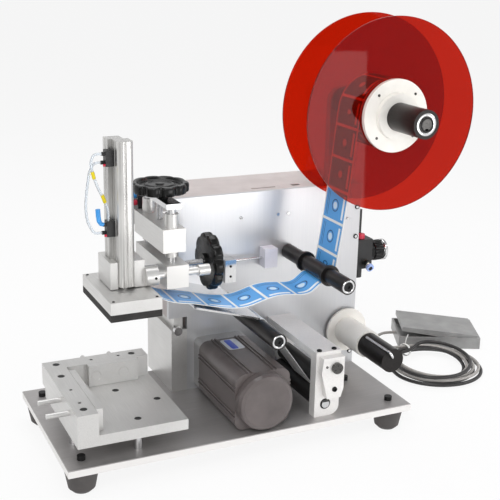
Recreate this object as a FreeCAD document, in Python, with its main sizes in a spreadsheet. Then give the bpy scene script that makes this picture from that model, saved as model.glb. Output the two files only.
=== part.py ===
import FreeCAD, Part
import math
import os
import Sketcher

# Semi-automatic flat labelling machine for bottles and boxes: a base plate on rubber feet, an L-shaped
# stop fixture at the left, an air cylinder that presses the label down, a label reel on an arm, a motor
# driven nip that pulls the liner, and a housing with the drive belts behind the front plate.
# Lengths are millimetres. Every place in SIZES is measured from the front left corner of the base
# plate's top face: x to the right, y to the back, z up. The model's own origin lies on the floor below
# the middle of the machine.

Vector = FreeCAD.Vector
Rotation = FreeCAD.Rotation

SIZES = {
    # base plate and feet
    "base_length": 600, "base_depth": 300, "base_thick": 12, "base_edge": 1,
    "foot_height": 38, "foot_top": 54, "foot_bottom": 42, "foot_inset_x": 28, "foot_inset_y": 30,
    "foot_round": 6,
    "screw_shank": 8, "screw_head": 13, "screw_head_height": 7, "screw_play": 0.2,
    "extra_screw_x": 544, "extra_screw_y": 132,
    # L-shaped stop fixture
    "fixture_left": 15.7, "fixture_length": 173.8, "fixture_depth": 193, "fixture_lift": 33,
    "fixture_thick": 17, "pillar_round": 14,
    "pillar_front_x": 119, "pillar_front_y": 32, "pillar_right_x": 170, "pillar_right_y": 87,
    "pillar_back_x": 118, "pillar_back_y": 141, "pillar_left_x": 32, "pillar_left_y": 87,
    "sunk_head": 11, "sunk_depth": 6.5, "sunk_shank": 6,
    "bar_height": 36, "left_bar_width": 32.7, "rear_bar_y": 180, "rear_bar_depth": 31,
    "rear_bar_length": 171.3,
    "left_plate_thick": 10.1, "left_plate_front": 14, "left_plate_length": 152,
    "rear_plate_left": 82, "rear_plate_length": 84, "rear_plate_thick": 12,
    "slide_gap": 0.3, "run_fit": 0.08,
    "stud_round": 8, "stud_front_y": 44.6, "stud_back_y": 93.9, "left_stud_lift": 22.5,
    "left_stud_out": 35,
    "rear_stud_left_x": 94.1, "rear_stud_right_x": 140.4, "rear_stud_lift": 18.3, "rear_stud_out": 39,
    "lock_screw_round": 5, "lock_screw_sink": 1,
    "bar_screw_x": 31.5, "bar_screw_front_y": 21.5, "bar_screw_back_y": 149,
    "bar_screw_corner_x": 35.7, "bar_screw_right_x": 163.7, "bar_screw_rear_y": 196.5,
    # supports, front plate and housing
    "leg_left": 237.4, "leg_width": 28.2, "leg_front": 199.5, "leg_depth": 122.5, "leg_height": 114,
    "spacer_inset": 6, "leg_knob_round": 14.7, "leg_knob_thick": 8, "leg_knob_x": 246.8,
    "plate_left": 232, "plate_right": 600, "plate_face": 200, "plate_thick": 8,
    "plate_top": 345, "step_height": 136, "cover_depth": 117, "cover_wall": 2,
    "slot_left": 393, "slot_length": 46, "slot_y": 221, "slot_width": 5,
    "short_slot_left": 472, "short_slot_length": 16, "short_slot_width": 10,
    "panel_screw": 5.5, "panel_screw_thick": 2, "row_screw_one": 363.6, "row_screw_two": 434.1,
    "row_screw_three": 453.6, "row_screw_z": 302, "edge_screw_inset": 7, "edge_screw_low": 22.3,
    "edge_screw_mid": 246, "arm_screw_low": 281, "arm_screw_high": 301, "arm_screw_step": 18,
    # label reel
    "reel_x": 558.3, "reel_z": 491.7, "disc_round": 311, "disc_thick": 3, "front_disc_y": 48,
    "rear_disc_y": 131, "tube_round": 45.5, "tube_front": -43, "tube_bore": 34, "reel_axle": 24,
    "axle_proud": 2, "axle_notch": 6,
    "hub_round": 117.5, "hub_thick": 7, "hub_ring_round": 74, "hub_ring_thick": 9,
    "roll_round": 116, "roll_core": 46.5, "web_front": 55, "web_width": 70, "rear_hub_round": 90,
    "rear_hub_thick": 10, "arm_width": 50, "arm_thick": 14, "arm_bottom": 270,
    # guide rollers
    "guide_x": 455, "guide_z": 234, "guide_round": 26, "guide_front": -12, "guide_back": 197,
    "collar_round": 35, "collar_thick": 6, "collar_front_y": 47, "collar_back_y": 128,
    "low_x": 335, "low_z": 159, "low_round": 27, "axle_round": 12, "axle_sunk": 3,
    "roller_cap": 4,
    # traction and pinch rollers
    "traction_x": 440, "traction_z": 22, "traction_round": 31, "traction_shaft": 14,
    "pinch_x": 449, "pinch_z": 52, "pinch_round": 31, "pinch_journal": 9,
    "pivot_x": 451, "pivot_z": 90, "pivot_round": 12, "boss_round": 19, "boss_thick": 5,
    "bracket_left": 420, "bracket_right": 466, "bracket_front": 18, "bracket_thick": 18,
    "bracket_top": 103, "bracket_lobe": 16, "hood_thick": 12, "arm_front_y": 5, "arm_plate": 12.7,
    "arm_rear_y": 184.5, "nip_left": 37, "nip_right": 183.5, "arm_foot_z": 36, "arm_foot_left": 436,
    "arm_foot_right": 461, "arm_side": 466,
    "arm_waist_x": 424, "arm_waist_z": 82, "arm_head_x": 427, "arm_head_z": 108, "arm_rear_top": 100,
    "slot_swing": 9, "bond_gap": 0.05,
    # motor and drive
    "motor_x": 325, "motor_z": 50, "motor_square": 96, "motor_corner": 16, "motor_front": 20,
    "motor_back": 172, "rib_high": 2, "rib_wide": 2.4, "rib_pair": 6, "rib_spread": 44,
    "cap_round": 96, "cap_depth": 20, "cap_edge": 8, "gear_square": 92, "gear_corner": 10,
    "output_shaft": 12, "pulley_front": 212, "pulley_groove": 10, "pulley_flange": 1.5,
    "pulley_rim": 2.5, "motor_pulley": 36, "traction_pulley": 36, "traction_pulley_small": 30,
    "rewind_pulley": 26, "belt_thick": 1.6, "belt_width": 9, "belt_gap": 0.3,
    # rewind spindle
    "rewind_x": 579.5, "rewind_z": 69.5, "rewind_shaft": 14, "drum_round": 43, "drum_front": 35,
    "drum_back": 115, "sleeve_round": 50, "flange_round": 82, "flange_thick": 4, "flange_gap": 5,
    "clip_wire": 5, "clip_angle": 120, "clip_out": 3, "clip_length": 72, "clip_wide": 12,
    # height adjuster
    "block_left": 177.5, "block_width": 36.5, "block_front": 76, "block_depth": 136,
    "block_bottom": 294, "block_height": 37, "screw_clear": 9,
    "post_x": 196, "post_front_y": 90, "post_back_y": 194, "post_round": 13,
    "bush_round": 21, "bush_over": 22, "bush_under": 9, "bridge_bottom": 362, "bridge_thick": 8,
    "bridge_width": 24, "bridge_over": 12, "height_screw_y": 142, "height_screw": 10,
    "carriage_left": 177.5, "carriage_width": 35.5, "carriage_front": 60, "carriage_depth": 146,
    "carriage_bottom": 242, "carriage_height": 36,
    "wheel_round": 92, "wheel_thick": 16, "wheel_hub": 26, "wheel_hub_out": 4.5, "wheel_lobes": 10,
    "wheel_scallop": 18, "wheel_scallop_deep": 3, "wheel_dish": 66, "wheel_dish_deep": 5,
    "wheel_boss": 30, "wheel_boss_high": 3, "wheel_play": 0.5,
    # cross adjuster
    "cross_y": 70, "cross_z": 263.5, "cross_round": 12, "cross_end": 250, "cross_collar": 18,
    "cross_collar_long": 18, "flange_collar": 30, "flange_collar_long": 20,
    "lead_y": 107, "lead_z": 264, "lead_round": 10, "lead_seat": 10, "cross_wheel_x": 254,
    # press head and air cylinder
    "head_left": 91, "head_width": 53.5, "head_front": 68, "head_depth": 62, "head_bottom": 249.3,
    "head_height": 41.7, "slot_play": 0.3,
    "barrel_left": 103, "barrel_width": 25, "barrel_front": 60, "barrel_depth": 30,
    "barrel_corner": 8, "rail_left": 97, "rail_width": 24, "rail_depth": 23,
    "barrel_bottom": 253, "barrel_joint": 360, "barrel_top": 473, "barrel_groove": 3,
    "rod_round": 10, "rod_x": 114.5, "rod_y": 76, "rod_depth": 130, "guide_rod_x": 109,
    "guide_rod_y": 101.5, "guide_rod_round": 7, "bore_spare": 5,
    "press_left": 74, "press_width": 79, "press_front": 14, "press_depth": 146, "press_top": 248,
    "press_thick": 9, "press_under": 9.5, "foam_thick": 11,
    "valve_high_z": 447, "valve_low_z": 341, "valve_body": 13, "valve_height": 24,
    "valve_port": 6, "valve_port_out": 5, "port_spread": 7, "port_aside": 3, "tube_air": 4,
    # web
    "web_thick": 0.6, "peel_thick": 3, "peel_over": 8, "peel_left": 222, "peel_left_z": 208,
    "peel_right": 330, "peel_right_z": 176,
    # sensor
    "sensor_rod": 4, "sensor_y": 188, "sensor_z": 231, "sensor_rod_end": 424,
    "sensor_base_left": 326, "sensor_base_width": 20, "sensor_base_bottom": 196,
    "sensor_base_height": 40, "sensor_width": 24, "sensor_depth": 22, "sensor_height": 34,
    # regulator at the right side
    "regulator_y": 232, "regulator_z": 204, "regulator_body": 36, "regulator_long": 40,
    "regulator_high": 56, "knob_round": 40, "knob_long": 42, "knob_band": 8,
    "nipple_round": 12, "hose_round": 8, "hose_high": 48, "drain_round": 18, "drain_long": 20,
    # solenoid valve behind the height adjuster
    "air_valve_width": 30, "air_valve_depth": 22, "air_valve_bottom": 300, "air_valve_height": 50,
    # foot switch and cables on the floor
    "pedal_x": 889, "pedal_y": 338, "pedal_turn": -25, "pedal_length": 170, "pedal_width": 110,
    "pedal_base": 12, "pedal_wall": 4, "pedal_rim": 12, "pedal_toe": 44, "pedal_heel": 28, "pedal_skin": 9,
    "pedal_toe_gap": 3,
    "pedal_hinge": 6, "pedal_hinge_in": 10, "coil_x": 795, "coil_y": 208, "coil_loop": 76, "coil_thick": 20,
    "cable_round": 7, "gland_round": 16, "gland_long": 12, "gland_y": 300, "gland_z": 12,
    "lead_gland_y": 262, "foot_cable": 6,
    "plug_angle": 130, "plug_neck": 10, "plug_round": 26, "plug_taper": 16, "plug_long": 42, "plug_pin": 4.8,
    "plug_pin_long": 18, "plug_pins": 13,
}

doc = FreeCAD.newDocument("LabellingMachine")
sheet = doc.addObject("Spreadsheet::Sheet", "sizes")
for row, (name, number) in enumerate(SIZES.items(), start=1):
    sheet.set(f"A{row}", name)
    sheet.set(f"B{row}", str(number))
    sheet.setAlias(f"B{row}", name)
doc.recompute()


class Size:
    """A length, as the sheet expression that drives it and as the number that it has now."""

    def __init__(self, text, value):
        self.text = text
        self.value = value

    def __add__(self, other):
        other = size(other)
        return Size(f"({self.text} + {other.text})", self.value + other.value)

    def __radd__(self, other):
        return size(other) + self

    def __sub__(self, other):
        other = size(other)
        return Size(f"({self.text} - {other.text})", self.value - other.value)

    def __rsub__(self, other):
        return size(other) - self

    def __mul__(self, other):
        other = size(other)
        return Size(f"({self.text} * {other.text})", self.value * other.value)

    def __truediv__(self, other):
        other = size(other)
        return Size(f"({self.text} / {other.text})", self.value / other.value)

    def cosine(self):
        return Size(f"cos({self.text} * 1 deg)", math.cos(math.radians(self.value)))

    def sine(self):
        return Size(f"sin({self.text} * 1 deg)", math.sin(math.radians(self.value)))


def size(item):
    """A number or a Size, as a Size."""
    if isinstance(item, Size):
        return item
    return Size(f"({float(item)!r})", float(item))


class Sheet:
    """The spreadsheet's cells by name."""

    def __getattr__(self, name):
        return Size(f"sizes.{name}", float(SIZES[name]))


S = Sheet()
ORIGIN = (
    (S.fixture_left - S.left_stud_out + S.reel_x + S.disc_round / 2) / 2,
    (S.tube_front - S.axle_proud + S.plate_face + S.plate_thick + S.cover_depth) / 2,
    size(0) - S.base_thick - S.foot_height,
)
AXLE_TURN = {"x": Rotation(Vector(0, 1, 0), 90), "y": Rotation(Vector(1, 0, 0), -90), "z": Rotation()}
SHEET_TURN = {"x": Rotation(Vector(1, 1, 1), 120), "y": Rotation(Vector(1, 0, 0), 90), "z": Rotation()}
NODES = []


def place(item, x, y, z, turn):
    """Puts an object at a machine place, bound to the sheet."""
    spot = [size(a) - b for a, b in zip((x, y, z), ORIGIN)]
    item.Placement = FreeCAD.Placement(Vector(*[a.value for a in spot]), turn)
    for letter, length in zip("xyz", spot):
        item.setExpression(f"Placement.Base.{letter}", length.text)


def bind(item, **lengths):
    """Sets properties of an object and ties them to the sheet."""
    for name, length in lengths.items():
        length = size(length)
        setattr(item, name, length.value)
        item.setExpression(name, length.text)


def node(item, label):
    """Marks an object as a sub-part that is exported under its label."""
    item.Label = label
    NODES.append(item)
    return item


def box(x, y, z, length, width, height):
    """A block from its lower front left corner."""
    block = doc.addObject("Part::Box", "Block")
    bind(block, Length=length, Width=width, Height=height)
    place(block, x, y, z, Rotation())
    return block


def rod(axis, x, y, z, across, length):
    """A round bar that starts at a place and runs along an axis."""
    bar = doc.addObject("Part::Cylinder", "Bar")
    bind(bar, Radius=size(across) / 2, Height=length)
    place(bar, x, y, z, AXLE_TURN[axis])
    return bar


def group(label, *pieces):
    """Several separate solids in one sub-part."""
    together = doc.addObject("Part::Compound", "Group")
    together.Links = list(pieces)
    return node(together, label)


def join(*pieces):
    """Pieces fused into one solid."""
    whole = doc.addObject("Part::MultiFuse", "Joined")
    whole.Shapes = list(pieces)
    whole.Refine = True
    return whole


def cut(base, *tools):
    """A piece with other pieces taken out of it."""
    for tool in tools:
        rest = doc.addObject("Part::Cut", "CutPiece")
        rest.Base = base
        rest.Tool = tool
        base = rest
    return base


def plane(body, role):
    return next(item for item in body.Origin.OriginFeatures if item.Role == role)


def sketch_on(body, role):
    """An empty sketch on one of the body's own origin planes."""
    drawing = body.newObject("Sketcher::SketchObject", "Outline")
    drawing.AttachmentSupport = (plane(body, role), "")
    drawing.MapMode = "FlatFace"
    return drawing


def fix(drawing, letter, geometry, spot, length):
    """Dimensions a sketch point from the sketch origin, bound to the sheet."""
    kind = {"x": "DistanceX", "y": "DistanceY"}[letter]
    length = size(length)
    number = drawing.addConstraint(Sketcher.Constraint(kind, -1, 1, geometry, spot, length.value))
    drawing.setExpression(f"Constraints[{number}]", length.text)


def arc_between(start, end, centre, turn):
    """The arc from start to end about centre, anticlockwise for turn 1 and clockwise for -1."""
    radius = (start - centre).Length
    first = math.atan2(start.y - centre.y, start.x - centre.x)
    last = math.atan2(end.y - centre.y, end.x - centre.x)
    sweep = (last - first) * turn % (2 * math.pi) * turn
    middle = first + sweep / 2
    halfway = centre + Vector(math.cos(middle), math.sin(middle), 0) * radius
    return Part.Arc(start, halfway, end)


def draw_outline(drawing, points):
    """A closed outline of lines and arcs.

    A point is (x, y), or (x, y, turn, centre_x, centre_y, key) where an arc about that centre goes on to
    the next point; the key, x or y, says which coordinate of the centre is dimensioned.
    """
    corners = [Vector(size(p[0]).value, size(p[1]).value, 0) for p in points]
    edges = []
    for index, point in enumerate(points):
        start = corners[index]
        end = corners[(index + 1) % len(points)]
        if len(point) == 2:
            edge = Part.LineSegment(start, end)
        else:
            centre = Vector(size(point[3]).value, size(point[4]).value, 0)
            edge = arc_between(start, end, centre, point[2])
        edges.append((drawing.addGeometry(edge, False), edge))
    ends = []
    for index, (number, edge) in enumerate(edges):
        first, last = 1, 2
        if len(points[index]) > 2 and (edge.StartPoint - corners[index]).Length > 1e-6:
            first, last = 2, 1
        ends.append((number, first, last))
    for index, (number, first, last) in enumerate(ends):
        following = ends[(index + 1) % len(ends)]
        drawing.addConstraint(Sketcher.Constraint("Coincident", number, last, following[0], following[1]))
    for point, (number, first, last) in zip(points, ends):
        fix(drawing, "x", number, first, point[0])
        fix(drawing, "y", number, first, point[1])
        if len(point) > 2:
            fix(drawing, point[5], number, 3, point[3] if point[5] == "x" else point[4])


def draw_circle(drawing, x, y, across):
    """A dimensioned circle."""
    x, y, across = size(x), size(y), size(across)
    ring = Part.Circle(Vector(x.value, y.value, 0), Vector(0, 0, 1), across.value / 2)
    number = drawing.addGeometry(ring, False)
    fix(drawing, "x", number, 3, x)
    fix(drawing, "y", number, 3, y)
    constraint = drawing.addConstraint(Sketcher.Constraint("Diameter", number, across.value))
    drawing.setExpression(f"Constraints[{constraint}]", across.text)


def slab(axis, at, thick, points, holes=()):
    """A plate drawn square to an axis, from the place `at` along it, with round holes (u, v, across).

    Across the z axis the drawing is in x and y, across y in x and z, across x in y and z.
    """
    body = doc.addObject("PartDesign::Body", "Plate")
    drawing = sketch_on(body, "XY_Plane")
    draw_outline(drawing, points)
    for hole in holes:
        draw_circle(drawing, *hole)
    pad = body.newObject("PartDesign::Pad", "Thickness")
    pad.Profile = drawing
    bind(pad, Length=thick)
    pad.Reversed = axis == "y"
    spot = [size(0), size(0), size(0)]
    spot["xyz".index(axis)] = size(at)
    place(body, *spot, SHEET_TURN[axis])
    return body


def oblong(x0, y0, x1, y1):
    """The four corners of a rectangle."""
    return [(x0, y0), (x1, y0), (x1, y1), (x0, y1)]


def rounded(x0, y0, x1, y1, radius):
    """A rectangle with round corners."""
    return [
        (x0 + radius, y0), (x1 - radius, y0, 1, x1 - radius, y0 + radius, "x"),
        (x1, y0 + radius), (x1, y1 - radius, 1, x1 - radius, y1 - radius, "y"),
        (x1 - radius, y1), (x0 + radius, y1, 1, x0 + radius, y1 - radius, "x"),
        (x0, y1 - radius), (x0, y0 + radius, 1, x0 + radius, y0 + radius, "y"),
    ]


def turned(axis, x, y, z, profile):
    """A turned piece from a profile of (radius, place along the axis)."""
    body = doc.addObject("PartDesign::Body", "Turned")
    drawing = sketch_on(body, "XZ_Plane")
    draw_outline(drawing, profile)
    spin = body.newObject("PartDesign::Revolution", "Spin")
    spin.Profile = drawing
    spin.ReferenceAxis = (drawing, ["V_Axis"])
    spin.Angle = 360
    place(body, x, y, z, AXLE_TURN[axis])
    return body


def ring(axis, x, y, z, outside, inside, length):
    """A plain bush."""
    return turned(axis, x, y, z, oblong(size(inside) / 2, 0, size(outside) / 2, length))


def screw(axis, x, y, z, head, height, shank, length):
    """A cap screw whose head stands on the place given and whose shank runs back from it."""
    profile = [
        (0, size(0) - length), (size(shank) / 2, size(0) - length), (size(shank) / 2, 0),
        (size(head) / 2, 0), (size(head) / 2, height), (0, height),
    ]
    return turned(axis, x, y, z, profile)

# Base plate: 12 mm aluminium sheet with a bright chamfer round its top, drilled for the feet's screws.
foot_spots = [
    (x, y)
    for x in (S.foot_inset_x, S.base_length - S.foot_inset_x)
    for y in (S.foot_inset_y, S.base_depth - S.foot_inset_y)
]
screw_bore = S.screw_shank + S.screw_play * 2
base_spots = foot_spots + [(S.extra_screw_x, S.extra_screw_y)]
base_plate = slab(
    "z", size(0) - S.base_thick, S.base_thick,
    oblong(0, 0, S.base_length, S.base_depth),
    [(x, y, screw_bore) for x, y in base_spots],
)
doc.recompute()
pad = base_plate.Tip
rim_edges = []
for index, edge in enumerate(pad.Shape.Edges, start=1):
    straight = isinstance(edge.Curve, Part.Line)
    if straight and min(v.Z for v in edge.Vertexes) > S.base_thick.value - 0.01:
        rim_edges.append(f"Edge{index}")
bevel = base_plate.newObject("PartDesign::Chamfer", "Bevel")
bevel.Base = (pad, rim_edges)
bind(bevel, Size=S.base_edge)
base_plate.Tip = bevel
node(base_plate, "base_plate")

# Feet: moulded rubber, wider at the top, with a bevelled tread and a bore for the screw.
feet = []
for x, y in foot_spots:
    tread = S.foot_bottom / 2
    profile = [
        (screw_bore / 2, 0), (tread - S.foot_round, 0),
        (tread, S.foot_round), (S.foot_top / 2, S.foot_height), (screw_bore / 2, S.foot_height),
    ]
    feet.append(turned("z", x, y, ORIGIN[2], profile))
group("rubber_feet", *feet)
foot_screws = [
    screw("z", x, y, 0, S.screw_head, S.screw_head_height, S.screw_shank, S.base_thick + S.foot_height / 2)
    for x, y in foot_spots
]
foot_screws.append(
    screw("z", S.extra_screw_x, S.extra_screw_y, 0, S.screw_head, S.screw_head_height, S.screw_shank,
          S.base_thick)
)

# Stop fixture: a plate on four pillars, held by cap screws in counterbores.
pillar_spots = [
    (S.pillar_front_x, S.pillar_front_y), (S.pillar_right_x, S.pillar_right_y),
    (S.pillar_back_x, S.pillar_back_y), (S.pillar_left_x, S.pillar_left_y),
]
fixture_top = S.fixture_lift + S.fixture_thick
sunk_bore = S.sunk_shank + S.screw_play * 2
sunk_pocket = S.sunk_head + S.screw_play * 2
group(
    "fixture_pillars",
    *[ring("z", x, y, 0, S.pillar_round, sunk_bore, S.fixture_lift) for x, y in pillar_spots]
)
fixture = slab(
    "z", S.fixture_lift, S.fixture_thick,
    oblong(S.fixture_left, 0, S.fixture_left + S.fixture_length, S.fixture_depth),
    [(x, y, sunk_bore) for x, y in pillar_spots],
)
counterbores = [
    rod("z", x, y, fixture_top - S.sunk_depth, sunk_pocket, S.sunk_depth + 1) for x, y in pillar_spots
]
node(cut(fixture, *counterbores), "fixture_plate")

# L-shaped stop: two bars screwed to the plate, bored for the sliding studs of the stop plates.
bar_top = fixture_top + S.bar_height
left_bar_right = S.fixture_left + S.left_bar_width
left_stud_z = fixture_top + S.left_stud_lift
rear_stud_z = fixture_top + S.rear_stud_lift
stud_bore = S.stud_round + S.run_fit * 2
lock_bore = S.lock_screw_round + S.screw_play * 2
left_lock_x = S.fixture_left + S.left_bar_width / 2
rear_lock_y = S.rear_bar_y + S.rear_bar_depth / 2
left_bar_screws = [(S.bar_screw_x, S.bar_screw_front_y), (S.bar_screw_x, S.bar_screw_back_y)]
rear_bar_screws = [(S.bar_screw_corner_x, S.bar_screw_rear_y), (S.bar_screw_right_x, S.bar_screw_rear_y)]


def bar_cuts(spots):
    """Screw holes and counterbores down through a stop bar."""
    tools = []
    for x, y in spots:
        tools.append(rod("z", x, y, fixture_top - 1, sunk_bore, S.bar_height + 2))
        tools.append(rod("z", x, y, bar_top - S.sunk_depth, sunk_pocket, S.sunk_depth + 1))
    return tools


left_bar = box(S.fixture_left, 0, fixture_top, S.left_bar_width, S.rear_bar_y, S.bar_height)
left_tools = bar_cuts(left_bar_screws)
for y in (S.stud_front_y, S.stud_back_y):
    left_tools.append(rod("x", S.fixture_left - 1, y, left_stud_z, stud_bore, S.left_bar_width + 2))
    left_tools.append(rod("z", left_lock_x, y, left_stud_z, lock_bore, S.bar_height))
node(cut(left_bar, *left_tools), "left_stop_bar")
rear_bar = box(S.fixture_left, S.rear_bar_y, fixture_top, S.rear_bar_length, S.rear_bar_depth, S.bar_height)
rear_tools = bar_cuts(rear_bar_screws)
for x in (S.rear_stud_left_x, S.rear_stud_right_x):
    rear_tools.append(rod("y", x, S.rear_bar_y - 1, rear_stud_z, stud_bore, S.rear_bar_depth + 2))
    rear_tools.append(rod("z", x, rear_lock_y, rear_stud_z, lock_bore, S.bar_height))
node(cut(rear_bar, *rear_tools), "rear_stop_bar")
sunk_height = S.sunk_depth - 0.5
fixture_screws = [
    screw("z", x, y, fixture_top - S.sunk_depth, S.sunk_head, sunk_height, S.sunk_shank,
          S.fixture_thick - S.sunk_depth + S.fixture_lift / 2)
    for x, y in pillar_spots
]
fixture_screws += [
    screw(
        "z", x, y, bar_top - S.sunk_depth, S.sunk_head, sunk_height, S.sunk_shank, S.bar_height - S.sunk_depth
    )
    for x, y in left_bar_screws + rear_bar_screws
]
lock_screws = []
for x, y, z in [
    (left_lock_x, S.stud_front_y, left_stud_z), (left_lock_x, S.stud_back_y, left_stud_z),
    (S.rear_stud_left_x, rear_lock_y, rear_stud_z), (S.rear_stud_right_x, rear_lock_y, rear_stud_z),
]:
    tip = z + S.stud_round / 2 + S.slide_gap
    lock_screws.append(rod("z", x, y, tip, S.lock_screw_round, bar_top - S.lock_screw_sink - tip))
group("cap_screws", *foot_screws, *fixture_screws, *lock_screws)


def stud(axis, x, y, z, length):
    """A sliding stud, thick end first, with a countersunk head of the stop plate's screw."""
    cone = S.stud_round / 2
    profile = [
        (0, 0), (cone * 2, 0), (cone, cone), (cone, length), (0, length),
    ]
    return turned(axis, x, y, z, profile)


# Left stop plate, which slides right on two studs, and rear stop plate, which slides forward.
left_plate_x = left_bar_right + S.slide_gap
left_plate_right = left_plate_x + S.left_plate_thick
stop_height = S.bar_height - S.slide_gap
left_face = box(
    left_plate_x, S.left_plate_front, fixture_top + S.slide_gap, S.left_plate_thick, S.left_plate_length,
    stop_height
)
rear_face_y = S.rear_bar_y - S.slide_gap - S.rear_plate_thick
rear_face = box(
    S.rear_plate_left, rear_face_y, fixture_top + S.slide_gap, S.rear_plate_length, S.rear_plate_thick,
    stop_height
)


def stud_seat(axis, x, y, z):
    """What a stud and its countersunk head leave out of a stop plate, with some play."""
    wide = S.stud_round / 2 + S.screw_play
    profile = [
        (0, -1), (wide * 2 + 1, -1), (wide, wide), (wide, S.rear_plate_thick * 2), (0, S.rear_plate_thick * 2)
    ]
    return turned(axis, x, y, z, profile)


AXLE_TURN["-x"] = Rotation(Vector(0, 1, 0), -90)
left_studs = []
left_seats = []
for y in (S.stud_front_y, S.stud_back_y):
    left_studs.append(
        stud("-x", left_plate_right, y, left_stud_z, left_plate_right - S.fixture_left + S.left_stud_out)
    )
    left_seats.append(stud_seat("-x", left_plate_right, y, left_stud_z))
group("left_stop_plate", cut(left_face, *left_seats), *left_studs)
rear_studs = []
rear_seats = []
for x in (S.rear_stud_left_x, S.rear_stud_right_x):
    reach = S.rear_bar_y + S.rear_bar_depth - rear_face_y + S.rear_stud_out
    rear_studs.append(stud("y", x, rear_face_y, rear_stud_z, reach))
    rear_seats.append(stud_seat("y", x, rear_face_y, rear_stud_z))
group("rear_stop_plate", cut(rear_face, *rear_seats), *rear_studs)

# Support leg: an upright aluminium block with a narrower spacer on it, under the step of the housing.
leg = box(S.leg_left, S.leg_front, 0, S.leg_width, S.leg_depth, S.leg_height)
spacer = box(
    S.leg_left + S.spacer_inset, S.leg_front + S.spacer_inset, S.leg_height,
    S.leg_width - S.spacer_inset * 2, S.leg_depth - S.spacer_inset * 2, S.step_height - S.leg_height,
)
group("support_leg", leg, spacer)
leg_knob = rod(
    "y", S.leg_knob_x, S.leg_front - S.leg_knob_thick, S.leg_height, S.leg_knob_round, S.leg_knob_thick
)

# Front plate: 8 mm aluminium with a step at its left, bored for the shafts that pass through it.
step_x = S.leg_left + S.leg_width
plate_back = S.plate_face + S.plate_thick
fit = S.run_fit * 2
front_plate = slab(
    "y", S.plate_face, S.plate_thick,
    [
        (step_x, 0), (S.plate_right, 0), (S.plate_right, S.plate_top),
        (S.plate_left, S.plate_top), (S.plate_left, S.step_height), (step_x, S.step_height),
    ],
    [
        (S.motor_x, S.motor_z, S.output_shaft + fit), (S.traction_x, S.traction_z, S.traction_shaft + fit),
        (S.rewind_x, S.rewind_z, S.rewind_shaft + fit),
    ],
)
node(front_plate, "front_plate")

# Housing: a bent sheet shell behind the front plate, open to it and to the base, slotted in its top.
wall = S.cover_wall
shell = slab(
    "y", plate_back, S.cover_depth,
    [
        (step_x, 0), (S.plate_right, 0), (S.plate_right, S.plate_top),
        (S.plate_left, S.plate_top), (S.plate_left, S.step_height), (step_x, S.step_height),
    ],
)
hollow = slab(
    "y", plate_back - 1, S.cover_depth - wall + 1,
    [
        (step_x + wall, -1), (S.plate_right - wall, -1), (S.plate_right - wall, S.plate_top - wall),
        (S.plate_left + wall, S.plate_top - wall), (S.plate_left + wall, S.step_height + wall),
        (step_x + wall, S.step_height + wall),
    ],
)
arm_left = S.reel_x - S.arm_width / 2
slots = [
    box(S.slot_left, S.slot_y, S.plate_top - wall - 1, S.slot_length, S.slot_width, wall + 2),
    box(
        S.short_slot_left, S.slot_y, S.plate_top - wall - 1, S.short_slot_length, S.short_slot_width, wall + 2
    ),
    box(
        arm_left - S.screw_play, plate_back - 1, S.plate_top - wall - 1, S.arm_width + S.screw_play * 2,
        S.arm_thick + S.screw_play + 1, wall + 2,
    ),
]
node(cut(shell, hollow, *slots), "housing_cover")

# Small screws in the front plate's face: a row of three, three down the right edge, two for the arm.
edge_x = S.plate_right - S.edge_screw_inset
screw_spots = [(x, S.row_screw_z) for x in (S.row_screw_one, S.row_screw_two, S.row_screw_three)]
screw_spots += [(edge_x, z) for z in (S.edge_screw_low, S.edge_screw_mid, S.arm_screw_high)]
screw_spots.append((edge_x - S.arm_screw_step, S.arm_screw_low))
group(
    "panel_screws",
    *[
        rod("y", x, S.plate_face - S.panel_screw_thick, z, S.panel_screw, S.panel_screw_thick)
        for x, z in screw_spots
    ],
    leg_knob,
)

# Reel arm: a flat bar with a round head that stands behind the front plate and carries the reel's axle.
arm_right = arm_left + S.arm_width
arm = slab(
    "y", plate_back, S.arm_thick,
    [
        (arm_left, S.arm_bottom), (arm_right, S.arm_bottom),
        (arm_right, S.reel_z, 1, S.reel_x, S.reel_z, "y"), (arm_left, S.reel_z),
    ],
    [(S.reel_x, S.reel_z, S.reel_axle + S.bond_gap * 2)],
)
node(arm, "reel_arm")

# Fixed axles: the reel's, with a notch in its end, those of the two guide rollers and the pinch arms'
# pivot, whose knurled head stands in front of the arm.
arm_back = plate_back + S.arm_thick
axle_front = S.tube_front - S.axle_proud
reel_axle = cut(
    rod("y", S.reel_x, axle_front, S.reel_z, S.reel_axle, arm_back - axle_front),
    box(
        S.reel_x - S.axle_notch / 2, axle_front - 1, S.reel_z - S.reel_axle / 2 - 1, S.axle_notch,
        S.axle_notch + 1, S.axle_notch + 1,
    ),
)
roller_axle_front = S.guide_front + S.axle_sunk
guide_axle = rod("y", S.guide_x, roller_axle_front, S.guide_z, S.axle_round, S.plate_face - roller_axle_front)
low_axle = rod("y", S.low_x, roller_axle_front, S.low_z, S.axle_round, S.plate_face - roller_axle_front)
boss_back = S.arm_front_y - S.slide_gap
pivot_profile = [
    (0, 0), (S.boss_round / 2, 0), (S.boss_round / 2, S.boss_thick), (S.pivot_round / 2, S.boss_thick),
    (S.pivot_round / 2, S.plate_face - boss_back + S.boss_thick),
    (0, S.plate_face - boss_back + S.boss_thick),
]
pivot = turned("y", S.pivot_x, boss_back - S.boss_thick, S.pivot_z, pivot_profile)
group("fixed_axles", reel_axle, guide_axle, low_axle, pivot)

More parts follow.
